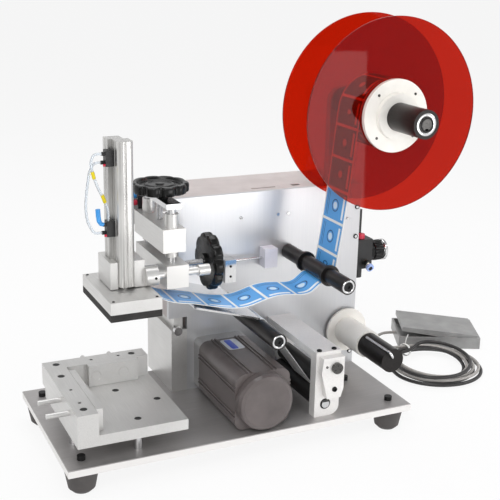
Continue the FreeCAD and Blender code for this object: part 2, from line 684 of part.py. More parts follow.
# Reel tube: black anodised, turning on the axle in two bearing rings, with the rear flange as a shoulder.
tube_back = S.plate_face + S.plate_thick - 0.5
tube_length = tube_back - S.tube_front
tube_outer = S.tube_round / 2
tube_inner = S.tube_bore / 2
shoulder_start = S.rear_disc_y + S.disc_thick - S.tube_front
shoulder_end = shoulder_start + S.rear_hub_thick
tube_profile = [
    (tube_inner, 0), (tube_outer, 0), (tube_outer, shoulder_start), (S.rear_hub_round / 2, shoulder_start),
    (S.rear_hub_round / 2, shoulder_end), (tube_outer, shoulder_end), (tube_outer, tube_length),
    (tube_inner, tube_length),
]
tube = turned("y", S.reel_x, S.tube_front, S.reel_z, tube_profile)
bearings = [
    ring("y", S.reel_x, y, S.reel_z, S.tube_bore - S.bond_gap * 2, S.reel_axle + fit, S.disc_thick * 4)
    for y in (S.tube_front, tube_back - S.disc_thick * 4)
]
group("reel_tube", tube, *bearings)
bonded = S.tube_round + S.bond_gap * 2
node(ring("y", S.reel_x, S.rear_disc_y, S.reel_z, S.disc_round, bonded, S.disc_thick), "reel_rear_disc")
node(ring("y", S.reel_x, S.web_front, S.reel_z, S.roll_round, S.roll_core, S.web_width), "label_roll")

# Front flange: the second acrylic disc on a white hub that slides off the tube to load a roll.
hub_back = S.front_disc_y
hub_inner = (S.tube_round + fit) / 2
hub_profile = [
    (hub_inner, 0), (S.hub_ring_round / 2, 0), (S.hub_ring_round / 2, S.hub_ring_thick),
    (S.hub_round / 2, S.hub_ring_thick), (S.hub_round / 2, S.hub_ring_thick + S.hub_thick),
    (hub_inner, S.hub_ring_thick + S.hub_thick),
]
hub = turned("y", S.reel_x, hub_back - S.hub_thick - S.hub_ring_thick, S.reel_z, hub_profile)
node(hub, "reel_hub")
node(
    ring("y", S.reel_x, S.front_disc_y, S.reel_z, S.disc_round, hub_inner * 2, S.disc_thick),
    "reel_front_disc"
)


def roller_profile(across, length):
    """A hollow roller with a recess in its front face round the axle."""
    bore = (S.axle_round + fit) / 2
    recess = bore + S.roller_cap / 2
    return [
        (bore, S.axle_sunk), (recess, S.axle_sunk), (recess, 0), (across / 2, 0),
        (across / 2, length), (bore, length),
    ]


# Guide rollers: black rollers that turn on fixed axles; the upper one has two collars that keep the web.
roller_length = S.guide_back - S.guide_front
upper = turned("y", S.guide_x, S.guide_front, S.guide_z, roller_profile(S.guide_round, roller_length))
collars = [
    ring("y", S.guide_x, y, S.guide_z, S.collar_round, S.guide_round + S.bond_gap * 2, S.collar_thick)
    for y in (S.collar_front_y, S.collar_back_y)
]
group("guide_roller", upper, *collars)
lower = turned("y", S.low_x, S.guide_front, S.low_z, roller_profile(S.low_round, roller_length))
node(lower, "lower_roller")

# Front bearing bracket of the nip: a plate with a round lower corner, and the hood plate over the rollers.
lobe = S.bracket_lobe
pinch_slot = box(
    S.pinch_x - S.pinch_journal / 2 - 1, S.bracket_front - 1, S.pinch_z - S.pinch_journal / 2 - 2,
    S.pinch_journal + 2 + S.slot_swing, S.bracket_thick + 2, S.pinch_journal + 5,
)
bracket = slab(
    "y", S.bracket_front, S.bracket_thick,
    [
        (S.bracket_left, 0), (S.bracket_right - lobe, 0, 1, S.bracket_right - lobe, lobe, "x"),
        (S.bracket_right, lobe), (S.bracket_right, S.bracket_top), (S.bracket_left, S.bracket_top),
    ],
    [
        (S.traction_x, S.traction_z, S.traction_shaft + fit),
        (S.pivot_x, S.pivot_z, S.pivot_round + S.bond_gap * 2),
    ],
)
hood = box(
    S.bracket_left, S.bracket_front, S.bracket_top, S.bracket_right - S.bracket_left,
    S.plate_face - S.bracket_front, S.hood_thick,
)
group("nip_bracket", cut(bracket, pinch_slot), hood)

# Pinch arms: two plates that swing on the pivot and hold the pinch roller against the traction roller.


def pinch_arm(front, top):
    points = [
        (S.arm_foot_left, S.arm_foot_z), (S.arm_foot_right, S.arm_foot_z), (S.arm_side, S.arm_foot_z + lobe),
        (S.arm_side, top), (S.arm_head_x, top), (S.arm_waist_x, S.arm_waist_z),
    ]
    holes = [(S.pivot_x, S.pivot_z, S.pivot_round + fit), (S.pinch_x, S.pinch_z, S.pinch_journal + fit)]
    return slab("y", front, S.arm_plate, points, holes)


group("pinch_arms", pinch_arm(S.arm_front_y, S.arm_head_z), pinch_arm(S.arm_rear_y, S.arm_rear_top))
nip_length = S.nip_right - S.nip_left
journal = S.pinch_journal / 2
journal_front = S.nip_left - S.arm_front_y - 0.5
journal_back = S.arm_rear_y + S.arm_plate - S.nip_right - 0.5
pinch_profile = [
    (0, 0), (journal, 0), (journal, journal_front), (S.pinch_round / 2, journal_front),
    (S.pinch_round / 2, journal_front + nip_length), (journal, journal_front + nip_length),
    (journal, journal_front + nip_length + journal_back), (0, journal_front + nip_length + journal_back),
]
node(turned("y", S.pinch_x, S.nip_left - journal_front, S.pinch_z, pinch_profile), "pinch_roller")

# Traction roller: a rubber sleeve on a shaft that runs through the front plate to its two pulleys; the
# shaft's front end has a flat.
groove = S.pulley_groove
flange = S.pulley_flange
traction_front = S.bracket_front - 2
shaft_r = S.traction_shaft / 2
big_r = S.traction_pulley / 2
small_r = S.traction_pulley_small / 2
rim = S.pulley_rim
first_groove = S.pulley_front - traction_front
traction_profile = [
    (0, 0), (shaft_r, 0), (shaft_r, first_groove), (big_r + rim, first_groove),
    (big_r + rim, first_groove + flange), (big_r, first_groove + flange),
    (big_r, first_groove + flange + groove), (big_r + rim, first_groove + flange + groove),
    (big_r + rim, first_groove + flange * 2 + groove), (small_r, first_groove + flange * 2 + groove),
    (small_r, first_groove + flange * 2 + groove * 2),
    (small_r + rim, first_groove + flange * 2 + groove * 2),
    (small_r + rim, first_groove + flange * 3 + groove * 2), (0, first_groove + flange * 3 + groove * 2),
]
traction = turned("y", S.traction_x, traction_front, S.traction_z, traction_profile)
flat = box(
    S.traction_x - shaft_r, traction_front - 1, S.traction_z + shaft_r / 2, S.traction_shaft,
    S.bracket_thick / 2, shaft_r,
)
node(cut(traction, flat), "traction_shaft")
node(
    ring(
        "y", S.traction_x, S.nip_left, S.traction_z, S.traction_round, S.traction_shaft + S.bond_gap * 2,
        nip_length
    ),
    "traction_rubber",
)

# Gear motor: a square finned body with a round end cap, and the gearhead flanged to the front plate.
half = S.motor_square / 2
motor_length = S.motor_back - S.motor_front
stator = slab(
    "y", S.motor_front, motor_length,
    rounded(S.motor_x - half, S.motor_z - half, S.motor_x + half, S.motor_z + half, S.motor_corner),
)
ribs = []
for side in (-1, 1):
    for step in (-1, 1):
        along = S.rib_spread / 2 * side + S.rib_pair / 2 * step - S.rib_wide / 2
        ribs.append(
            box(
                S.motor_x - half - S.rib_high, S.motor_front, S.motor_z + along, S.rib_high + 1,
                motor_length, S.rib_wide
            )
        )
        ribs.append(
            box(
                S.motor_x + half - 1, S.motor_front, S.motor_z + along, S.rib_high + 1, motor_length,
                S.rib_wide
            )
        )
        ribs.append(
            box(
                S.motor_x + along, S.motor_front, S.motor_z + half - 1, S.rib_wide, motor_length,
                S.rib_high + 1
            )
        )
cap_r = S.cap_round / 2
cap_profile = [
    (0, 0), (cap_r - S.cap_edge, 0), (cap_r - S.cap_edge / 3, S.cap_edge / 3), (cap_r, S.cap_edge),
    (cap_r, S.cap_depth), (0, S.cap_depth),
]
end_cap = turned("y", S.motor_x, S.motor_front - S.cap_depth, S.motor_z, cap_profile)
group("motor", join(stator, *ribs), end_cap)
gear_half = S.gear_square / 2
gearhead = slab(
    "y", S.motor_back, S.plate_face - S.motor_back,
    rounded(
        S.motor_x - gear_half, S.motor_z - gear_half, S.motor_x + gear_half, S.motor_z + gear_half,
        S.gear_corner
    ),
)
seat_depth = S.gear_corner
gear_bore = rod(
    "y", S.motor_x, S.plate_face - seat_depth, S.motor_z, S.output_shaft + fit, seat_depth + 1
)
node(cut(gearhead, gear_bore), "gearhead")
output_start = S.plate_face - seat_depth + 0.5
output_groove = S.pulley_front - output_start
motor_r = S.motor_pulley / 2
output_r = S.output_shaft / 2
output_profile = [
    (0, 0), (output_r, 0), (output_r, output_groove), (motor_r + rim, output_groove),
    (motor_r + rim, output_groove + flange), (motor_r, output_groove + flange),
    (motor_r, output_groove + flange + groove), (motor_r + rim, output_groove + flange + groove),
    (motor_r + rim, output_groove + flange * 2 + groove), (0, output_groove + flange * 2 + groove),
]
node(turned("y", S.motor_x, output_start, S.motor_z, output_profile), "motor_pulley")

# Rewind spindle: a shaft and black drum, a white sleeve with a flange, and a U-shaped clip of bright wire
# that holds the liner's end and pulls out at the front.
rewind_groove = S.pulley_front + flange + groove
drum_r = S.drum_round / 2
drum_long = S.drum_back - S.drum_front
rewind_r = S.rewind_pulley / 2
pulley_at = rewind_groove - S.drum_front
rewind_shaft_r = S.rewind_shaft / 2
drum_profile = [
    (0, 0), (drum_r, 0), (drum_r, drum_long), (rewind_shaft_r, drum_long), (rewind_shaft_r, pulley_at),
    (rewind_r + rim, pulley_at), (rewind_r + rim, pulley_at + flange), (rewind_r, pulley_at + flange),
    (rewind_r, pulley_at + flange + groove), (rewind_r + rim, pulley_at + flange + groove),
    (rewind_r + rim, pulley_at + flange * 2 + groove), (0, pulley_at + flange * 2 + groove),
]
drum = turned("y", S.rewind_x, S.drum_front, S.rewind_z, drum_profile)
clip_outer = drum_r
clip_inner = drum_r - S.clip_wide
legs = [
    (S.rewind_x + S.clip_angle.cosine() * reach, S.rewind_z + S.clip_angle.sine() * reach)
    for reach in (clip_outer, clip_inner)
]
clip_bores = [
    rod("y", x, S.drum_front - 1, z, S.clip_wire + S.screw_play * 2, S.clip_length + 2) for x, z in legs
]
node(cut(drum, *clip_bores), "rewind_drum")
bend_y = S.drum_front - S.clip_out
wires = [rod("y", x, bend_y, z, S.clip_wire, S.clip_length) for x, z in legs]
bend = doc.addObject("Part::Torus", "Bend")
bind(bend, Radius1=S.clip_wide / 2, Radius2=S.clip_wire / 2)
bend.Angle3 = 180
middle = drum_r - S.clip_wide / 2
place(
    bend, S.rewind_x + S.clip_angle.cosine() * middle, bend_y, S.rewind_z + S.clip_angle.sine() * middle,
    Rotation(Vector(0, 1, 0), 0 - S.clip_angle.value) * Rotation(Vector(1, 0, 0), 180),
)
node(join(bend, *wires), "rewind_clip")
flange_back = S.plate_face - S.flange_gap - S.drum_back
sleeve_profile = [
    (rewind_shaft_r + S.bond_gap, 0), (S.sleeve_round / 2, 0),
    (S.sleeve_round / 2, flange_back - S.flange_thick),
    (S.flange_round / 2, flange_back - S.flange_thick), (S.flange_round / 2, flange_back),
    (rewind_shaft_r + S.bond_gap, flange_back),
]
node(turned("y", S.rewind_x, S.drum_back, S.rewind_z, sleeve_profile), "rewind_flange")

# Drive belts behind the front plate: motor to traction shaft, and traction shaft to rewind spindle.


def machine(x, y, z):
    """A machine place as a point of the model."""
    return Vector(*[(size(a) - b).value for a, b in zip((x, y, z), ORIGIN)])


def loop_face(one, first, two, second):
    """The face inside a loop round two circles, each a centre and a radius, square to the y axis."""
    across = two - one
    lean = math.atan2(across.z, across.x)
    spread = math.acos((first - second) / across.Length)
    edges = []
    corners = {}
    for side in (1, -1):
        aim = Vector(math.cos(lean + spread * side), 0, math.sin(lean + spread * side))
        corners[side] = (one + aim * first, two + aim * second)
        edges.append(Part.LineSegment(*corners[side]).toShape())
    forward = Vector(math.cos(lean), 0, math.sin(lean))
    edges.append(Part.Arc(corners[1][0], one - forward * first, corners[-1][0]).toShape())
    edges.append(Part.Arc(corners[1][1], two + forward * second, corners[-1][1]).toShape())
    return Part.Face(Part.Wire(Part.__sortEdges__(edges)))


def belt(one, first, two, second):
    """A flat belt round two pulleys, its inside a running gap off their grooves."""
    gap = S.belt_gap.value
    thick = S.belt_thick.value
    outside = loop_face(one, first + gap + thick, two, second + gap + thick)
    inside = loop_face(one, first + gap, two, second + gap)
    return outside.cut(inside).extrude(Vector(0, S.belt_width.value, 0))


belt_y = S.pulley_front + flange + (groove - S.belt_width) / 2
second_belt_y = rewind_groove + flange + (groove - S.belt_width) / 2
belts = doc.addObject("Part::Feature", "Belts")
belts.Shape = Part.makeCompound([
    belt(
        machine(S.motor_x, belt_y, S.motor_z), motor_r.value,
        machine(S.traction_x, belt_y, S.traction_z), big_r.value,
    ),
    belt(
        machine(S.traction_x, second_belt_y, S.traction_z), small_r.value,
        machine(S.rewind_x, second_belt_y, S.rewind_z), rewind_r.value,
    ),
])
node(belts, "drive_belts")

# Height adjuster: a fixed block on the housing's end with two long bushings and the screw's thread.
block_top = S.block_bottom + S.block_height
block_back = S.block_front + S.block_depth
post_spots = [(S.post_x, S.post_front_y), (S.post_x, S.post_back_y)]
block_right = S.block_left + S.block_width
neck_front = S.plate_face - S.block_height / 2
block = join(
    box(S.block_left, S.block_front, S.block_bottom, S.block_width, S.block_depth, S.block_height),
    box(
        block_right - 1, neck_front, S.block_bottom, S.plate_left - block_right + 1,
        block_back - neck_front, S.block_height,
    ),
)
bush_bore = S.bush_round + S.bond_gap * 2
block_tools = [rod("z", x, y, S.block_bottom - 1, bush_bore, S.block_height + 2) for x, y in post_spots]
block_tools.append(
    rod("z", S.post_x, S.height_screw_y, S.block_bottom - 1, S.height_screw + fit, S.block_height + 2)
)
bush_length = S.block_height + S.bush_over + S.bush_under
bushes = [
    ring("z", x, y, S.block_bottom - S.bush_under, S.bush_round, S.post_round + fit, bush_length)
    for x, y in post_spots
]
group("slide_block", cut(block, *block_tools), *bushes)

# Two posts and the bridge across their tops, which the height screw lifts and lowers.
carriage_top = S.carriage_bottom + S.carriage_height
bridge_top = S.bridge_bottom + S.bridge_thick
posts = [rod("z", x, y, carriage_top, S.post_round, S.bridge_bottom - carriage_top) for x, y in post_spots]
bridge = slab(
    "z", S.bridge_bottom, S.bridge_thick,
    oblong(
        S.post_x - S.bridge_width / 2, S.post_front_y - S.bridge_over,
        S.post_x + S.bridge_width / 2, S.post_back_y + S.bridge_over,
    ),
    [(S.post_x, S.height_screw_y, S.height_screw + fit)],
)
group("guide_posts", bridge, *posts)


def hand_wheel(axis, x, y, z):
    """A lobed handwheel: a dished rim with finger scallops, a raised boss and a hub below it."""
    radius = S.wheel_round / 2
    bevel = S.base_edge * 2
    dish = S.wheel_dish / 2
    boss = S.wheel_boss / 2
    hub_end = S.wheel_hub_out
    top = hub_end + S.wheel_thick
    floor = top - S.wheel_dish_deep
    profile = [
        (0, 0), (S.wheel_hub / 2, 0), (S.wheel_hub / 2, hub_end), (radius - bevel, hub_end),
        (radius, hub_end + bevel), (radius, top - bevel), (radius - bevel, top), (dish, top),
        (dish - bevel, floor), (boss, floor), (boss, floor + S.wheel_boss_high),
        (0, floor + S.wheel_boss_high),
    ]
    wheel = turned(axis, x, y, z, profile)
    scallop = sketch_on(wheel, "XY_Plane")
    draw_circle(scallop, radius + S.wheel_scallop / 2 - S.wheel_scallop_deep, 0, S.wheel_scallop)
    doc.recompute()
    whole = wheel.Shape.Volume
    pocket = wheel.newObject("PartDesign::Pocket", "Scallop")
    pocket.Profile = scallop
    pocket.Type = "ThroughAll"
    pocket.Reversed = True
    doc.recompute()
    if pocket.Shape.Volume > whole - 1:
        raise RuntimeError("the finger scallop cuts nothing")
    lobes = wheel.newObject("PartDesign::PolarPattern", "Lobes")
    lobes.Originals = [pocket]
    lobes.Axis = (scallop, ["N_Axis"])
    lobes.Angle = 360
    lobes.Occurrences = int(S.wheel_lobes.value)
    lobes.setExpression("Occurrences", S.wheel_lobes.text)
    wheel.Tip = lobes
    return wheel


hub_bottom = bridge_top + S.wheel_play
height_wheel = hand_wheel("z", S.post_x, S.height_screw_y, hub_bottom)
screw_bottom = carriage_top + S.screw_clear
height_screw = rod("z", S.post_x, S.height_screw_y, screw_bottom, S.height_screw, hub_bottom - screw_bottom)
group("height_wheel", height_wheel, height_screw)

# Carriage block at the posts' feet, bored for the cross guide shaft and the cross screw.
carriage = box(
    S.carriage_left, S.carriage_front, S.carriage_bottom, S.carriage_width, S.carriage_depth,
    S.carriage_height
)
carriage_tools = [
    rod("x", S.carriage_left - 1, S.cross_y, S.cross_z, S.cross_round + fit, S.carriage_width + 2),
    rod("x", S.carriage_left - 1, S.lead_y, S.lead_z, S.lead_round + fit, S.carriage_width + 2),
]
node(cut(carriage, *carriage_tools), "carriage_block")

# Head block: a U-shaped clamp round the cylinder, with the white collar of the guide shaft at its right.
head_right = S.head_left + S.head_width
barrel_back = S.barrel_front + S.barrel_depth
rail_back = barrel_back + S.rail_depth
play = S.slot_play
head = box(S.head_left, S.head_front, S.head_bottom, S.head_width, S.head_depth, S.head_height)
head_tools = [
    box(
        S.barrel_left - play, S.head_front - 1, S.head_bottom - 1, S.barrel_width + play * 2,
        barrel_back - S.head_front + 1 + play, S.head_height + 2,
    ),
    box(
        S.rail_left - play, barrel_back - play, S.head_bottom - 1, S.rail_width + play * 2,
        S.rail_depth + play * 2, S.head_height + 2,
    ),
    rod("x", head_right - S.lead_seat, S.lead_y, S.lead_z, S.lead_round + fit, S.lead_seat + 1),
]
flange_collar = ring(
    "x", head_right, S.cross_y, S.cross_z, S.flange_collar, S.cross_round + S.bond_gap * 2,
    S.flange_collar_long
)
cross_end_start = S.cross_end - S.cross_collar_long - head_right
cross_profile = [
    (0, 0), (S.cross_round / 2, 0), (S.cross_round / 2, cross_end_start),
    (S.cross_collar / 2, cross_end_start),
    (S.cross_collar / 2, S.cross_end - head_right), (0, S.cross_end - head_right),
]
cross_shaft = turned("x", head_right, S.cross_y, S.cross_z, cross_profile)
group("head_block", cut(head, *head_tools), flange_collar, cross_shaft)
cross_wheel = hand_wheel("x", S.cross_wheel_x, S.lead_y, S.lead_z)
lead_start = head_right - S.lead_seat + 0.5
lead_screw = rod("x", lead_start, S.lead_y, S.lead_z, S.lead_round, S.cross_wheel_x - lead_start)
group("cross_wheel", cross_wheel, lead_screw)

# Air cylinder: two lengths of grooved aluminium extrusion, a round-cornered barrel with a narrower rail
# behind it, bored from below for the piston rod and the guide rod.
barrel_right = S.barrel_left + S.barrel_width
rail_right = S.rail_left + S.rail_width
corner = S.barrel_corner


def barrel(bottom, top):
    points = [
        (S.barrel_left + corner, S.barrel_front),
        (barrel_right - corner, S.barrel_front, 1, barrel_right - corner, S.barrel_front + corner, "x"),
        (barrel_right, S.barrel_front + corner), (barrel_right, barrel_back), (rail_right, barrel_back),
        (rail_right, rail_back), (S.rail_left, rail_back), (S.rail_left, barrel_back),
        (S.barrel_left, barrel_back),
        (S.barrel_left, S.barrel_front + corner, 1, S.barrel_left + corner, S.barrel_front + corner, "y"),
    ]
    length = top - bottom
    piece = slab("z", bottom, length, points)
    grooves = [
        rod("z", S.rod_x, S.barrel_front, bottom - 1, S.barrel_groove, length + 2),
        rod("z", barrel_right, S.rod_y, bottom - 1, S.barrel_groove, length + 2),
        rod("z", S.barrel_left, S.rod_y, bottom - 1, S.barrel_groove, length + 2),
        rod("z", S.rail_left, S.guide_rod_y, bottom - 1, S.barrel_groove, length + 2),
    ]
    return cut(piece, *grooves)


bore_long = S.rod_depth + S.bore_spare
lengths = []
for bottom, top in ((S.barrel_bottom, S.barrel_joint), (S.barrel_joint, S.barrel_top)):
    piston_bore = rod("z", S.rod_x, S.rod_y, S.barrel_bottom - 1, S.rod_round + fit, bore_long)
    guide_bore = rod(
        "z", S.guide_rod_x, S.guide_rod_y, S.barrel_bottom - 1, S.guide_rod_round + fit, bore_long
    )
    lengths.append(cut(barrel(bottom, top), piston_bore, guide_bore))
group("air_cylinder", *lengths)

# Flow controls: two black bodies on the barrel's left side, each with a port for an air tube.
control_x = S.barrel_left - S.valve_body
control_y = barrel_back - S.valve_body / 2
port_x = control_x - S.valve_port_out
controls = []
for z in (S.valve_low_z, S.valve_high_z):
    body = box(
        control_x, barrel_back - S.valve_body, z - S.valve_height / 2, S.valve_body, S.valve_body,
        S.valve_height
    )
    lower_port = rod(
        "x", port_x, control_y + S.port_aside, z - S.port_spread, S.valve_port, S.valve_port_out + 1
    )
    upper_port = rod(
        "x", port_x, control_y - S.port_aside, z + S.port_spread, S.valve_port, S.valve_port_out + 1
    )
    controls.append(join(body, lower_port, upper_port))
group("flow_controls", *controls)

# Press head: a two-layer plate on the two rods, faced with black foam.
press = [
    box(
        S.press_left, S.press_front, S.press_top - S.press_thick, S.press_width, S.press_depth, S.press_thick
    ),
    box(
        S.press_left, S.press_front, S.press_top - S.press_thick - S.press_under, S.press_width,
        S.press_depth,
        S.press_under,
    ),
]
rod_length = S.barrel_bottom + S.rod_depth - S.press_top
press_rods = [
    rod("z", S.rod_x, S.rod_y, S.press_top, S.rod_round, rod_length),
    rod("z", S.guide_rod_x, S.guide_rod_y, S.press_top, S.guide_rod_round, rod_length),
]
group("press_plate", *press, *press_rods)
foam_bottom = S.press_top - S.press_thick - S.press_under - S.foam_thick
node(
    box(S.press_left, S.press_front, foam_bottom, S.press_width, S.press_depth, S.foam_thick), "foam_pad"
)

# Peel plate: a thin sloping sheet held at its back edge by the front plate; the web runs over it.
peel_back = S.plate_face - S.web_front + S.peel_over
peel = slab(
    "y", S.web_front - S.peel_over, peel_back,
    [
        (S.peel_left, S.peel_left_z), (S.peel_right, S.peel_right_z),
        (S.peel_right, S.peel_right_z + S.peel_thick),
        (S.peel_left, S.peel_left_z + S.peel_thick),
    ],
)
node(peel, "peel_plate")


def ribbon(points):
    """A thin closed strip through points (x, z), as wide as the web."""
    half_thick = S.web_thick.value / 2
    spots = [machine(x, S.web_front, z) for x, z in points]
    above = []
    below = []
    for index, spot in enumerate(spots):
        before = spots[max(index - 1, 0)]
        after = spots[min(index + 1, len(spots) - 1)]
        run = (after - before).normalize()
        aside = Vector(0 - run.z, 0, run.x) * half_thick
        above.append(spot + aside)
        below.append(spot - aside)
    sides = []
    for line in (above, below):
        curve = Part.BSplineCurve()
        curve.interpolate(line)
        sides.append(curve.toShape())
    ends = [Part.LineSegment(above[0], below[0]).toShape(), Part.LineSegment(above[-1], below[-1]).toShape()]
    wire = Part.Wire(Part.__sortEdges__(sides + ends))
    return Part.Face(wire).extrude(Vector(0, S.web_width.value, 0))


def wrap(centre_x, centre_z, across, first, last, steps):
    """Places of the web round a roller, from one angle to another in degrees."""
    reach = across / 2 + S.slide_gap + S.web_thick / 2
    places = []
    for step in range(steps + 1):
        angle = math.radians(first + (last - first) * step / steps)
        places.append((centre_x + reach * math.cos(angle), centre_z + reach * math.sin(angle)))
    return places


# Web: the printed labels come off the roll, go round the upper roller and run out over the peel plate;
# the bare liner turns back under the plate, passes the lower roller and goes down to the nip.
roll_left = S.reel_x - S.roll_round / 2 - S.slide_gap - S.web_thick / 2
label_path = [(roll_left, S.reel_z), (roll_left - 9, S.reel_z - 90), (roll_left - 21, S.reel_z - 190)]
label_path += wrap(S.guide_x, S.guide_z, S.guide_round, 0, -110, 4)
label_path += [
    (S.guide_x - 28, S.guide_z - 26), (S.guide_x - 52, S.guide_z - 28), (S.guide_x - 82, S.guide_z - 25),
    (S.guide_x - 112, S.guide_z - 29), (S.guide_x - 140, S.guide_z - 36),
    (S.peel_left + 60, S.peel_left_z - 9), (S.peel_left + 26, S.peel_left_z + S.peel_thick - 4),
    (S.peel_left, S.peel_left_z + S.peel_thick + 3), (S.peel_left - 26, S.peel_left_z + 11),
    (S.peel_left - 52, S.peel_left_z + 20),
]
slope = (S.peel_left_z - S.peel_right_z) / (S.peel_right - S.peel_left)
nip_x = (S.traction_x + S.pinch_x) / 2
nip_z = (S.traction_z + S.pinch_z) / 2
liner_path = [
    (S.peel_left - 2, S.peel_left_z + S.peel_thick), (S.peel_left - 2.5, S.peel_left_z),
    (S.peel_left + 3, S.peel_left_z - 3.2), (S.peel_left + 40, S.peel_left_z - slope * 40 - 2),
    (S.peel_right - 12, S.peel_right_z + slope * 12 - 1.5),
]
liner_path += wrap(S.low_x, S.low_z, S.low_round, 92, 36, 3)
run_start = liner_path[-1]
run_end = (nip_x - 7.7, nip_z + 2.3)
for step in (1, 2, 3, 4):
    liner_path.append(tuple(a + (b - a) * (step / 4) for a, b in zip(run_start, run_end)))
label_web = doc.addObject("Part::Feature", "LabelWeb")
label_web.Shape = Part.makeCompound([ribbon(label_path), ribbon(liner_path)])
node(label_web, "label_web")

# Label sensor: a bracket block on the front plate with a thin chrome rod, and the sensor that slides on it.
sensor_front = S.sensor_y - S.sensor_depth / 2
bracket_block = box(
    S.sensor_base_left, sensor_front, S.sensor_base_bottom, S.sensor_base_width,
    S.plate_face - sensor_front, S.sensor_base_height,
)
bracket_right = S.sensor_base_left + S.sensor_base_width
slim_rod = rod("x", bracket_right, S.sensor_y, S.sensor_z, S.sensor_rod, S.sensor_rod_end - bracket_right)
group("sensor_rod", bracket_block, slim_rod)
sensor_left = S.sensor_rod_end - S.sensor_width
sensor = cut(
    box(
        sensor_left, sensor_front, S.sensor_z - S.sensor_height / 2, S.sensor_width, S.sensor_depth,
        S.sensor_height,
    ),
    rod("x", sensor_left - 1, S.sensor_y, S.sensor_z, S.sensor_rod + fit, S.sensor_width + 2),
)
node(sensor, "sensor_block")

# Air regulator on the housing's right side: body, drain bowl, hose socket with its hose, and nipple.
regulator_front = S.regulator_y - S.regulator_body / 2
regulator_bottom = S.regulator_z - S.regulator_high / 2
regulator_top = S.regulator_z + S.regulator_high / 2
hose_x = S.plate_right + S.regulator_long / 2
regulator = box(
    S.plate_right, regulator_front, regulator_bottom, S.regulator_long, S.regulator_body, S.regulator_high
)
drain = rod("z", hose_x, S.regulator_y, regulator_bottom - S.drain_long, S.drain_round, S.drain_long)
socket_high = S.nipple_round / 2
socket = rod("z", hose_x, S.regulator_y, regulator_top, S.nipple_round, socket_high)
hose = rod("z", hose_x, S.regulator_y, regulator_top + socket_high, S.hose_round, S.hose_high)
nipple = rod(
    "y", hose_x + S.nipple_round / 2, regulator_front - S.nipple_round, regulator_bottom + S.nipple_round,
    S.nipple_round, S.nipple_round,
)
group("air_regulator", join(regulator, drain), socket, hose, nipple)
knob_start = S.plate_right + S.regulator_long + S.slide_gap
knob_r = S.knob_round / 2
knob_profile = [
    (0, 0), (knob_r - 3, 0), (knob_r - 3, S.knob_band), (knob_r, S.knob_band), (knob_r, S.knob_long - 2),
    (knob_r - 2, S.knob_long), (0, S.knob_long),
]
knob = turned("x", knob_start, S.regulator_y, S.regulator_z, knob_profile)
flute = sketch_on(knob, "XY_Plane")
draw_circle(flute, knob_r + 1, 0, S.rib_wide * 2)
doc.recompute()
flute_cut = knob.newObject("PartDesign::Pocket", "Flute")
flute_cut.Profile = flute
flute_cut.Type = "ThroughAll"
flute_cut.Reversed = True
doc.recompute()
flutes = knob.newObject("PartDesign::PolarPattern", "Flutes")
flutes.Originals = [flute_cut]
flutes.Axis = (flute, ["N_Axis"])
flutes.Angle = 360
flutes.Occurrences = 12
knob.Tip = flutes
node(knob, "regulator_knob")

# Solenoid valve for the cylinder, on the back of the slide block, with two push-in sockets on top.
valve_left = block_right - S.air_valve_width
valve = box(
    valve_left, block_back, S.air_valve_bottom, S.air_valve_width, S.air_valve_depth, S.air_valve_height
)
valve_sockets = [
    rod(
        "z", valve_left + S.air_valve_width * share, block_back + S.air_valve_depth / 2,
        S.air_valve_bottom + S.air_valve_height, S.nipple_round * 0.75, S.nipple_round * 0.75,
    )
    for share in (0.25, 0.75)
]
group("air_valve", valve, *valve_sockets)

# Foot switch: a tray that lies on the floor and a wedge-shaped treadle hinged at its low end.
pedal_turn = Rotation(Vector(0, 0, 1), S.pedal_turn.value)
floor_z = ORIGIN[2]


def pedal_spot(along, across):
    """A place on the foot switch, measured from its middle along and across it."""
    turn_x = S.pedal_turn.cosine()
    turn_y = S.pedal_turn.sine()
    return (S.pedal_x + turn_x * along - turn_y * across, S.pedal_y + turn_y * along + turn_x * across)


def pedal_block(along, across, z, length, width, height):
    """A block of the foot switch from its near lower corner."""
    block = box(0, 0, 0, length, width, height)
    place(block, *pedal_spot(along, across), z, pedal_turn)
    return block


half_long = S.pedal_length / 2
half_wide = S.pedal_width / 2
skin = S.pedal_wall
tray = pedal_block(
    0 - half_long, 0 - half_wide, floor_z, S.pedal_length, S.pedal_width, S.pedal_base + S.pedal_rim
)
well = pedal_block(
    skin - half_long, skin - half_wide, floor_z + S.pedal_base, S.pedal_length - skin * 2,
    S.pedal_width - skin * 2, S.pedal_rim + 1,
)
hinge_along = half_long - S.pedal_hinge_in
hinge_z = floor_z + S.pedal_base + S.pedal_hinge
pin = doc.addObject("Part::Cylinder", "HingePin")
bind(pin, Radius=S.pedal_hinge / 2, Height=S.pedal_width - skin * 2)
place(
    pin, *pedal_spot(hinge_along, half_wide - skin), hinge_z, pedal_turn * Rotation(Vector(1, 0, 0), 90)
)
group("foot_switch", cut(tray, well), pin)
treadle = doc.addObject("PartDesign::Body", "Treadle")
drawing = sketch_on(treadle, "XY_Plane")
inside = S.pedal_length - skin * 2 - S.slide_gap * 2 - S.pedal_toe_gap
draw_outline(drawing, [
    (0, S.pedal_toe - S.pedal_skin), (inside, S.pedal_base + S.slide_gap * 2), (inside, S.pedal_heel),
    (0, S.pedal_toe),
])
pin_place = inside + skin + S.slide_gap * 2 - S.pedal_hinge_in
draw_circle(drawing, pin_place, S.pedal_base + S.pedal_hinge, S.pedal_hinge + fit)
pad = treadle.newObject("PartDesign::Pad", "Width")
pad.Profile = drawing
bind(pad, Length=S.pedal_width - skin * 2 - S.slide_gap * 4)
place(
    treadle, *pedal_spot(skin + S.pedal_toe_gap - half_long, half_wide - skin - S.slide_gap * 2), floor_z,
    pedal_turn * Rotation(Vector(1, 0, 0), 90),
)
node(treadle, "foot_pedal")

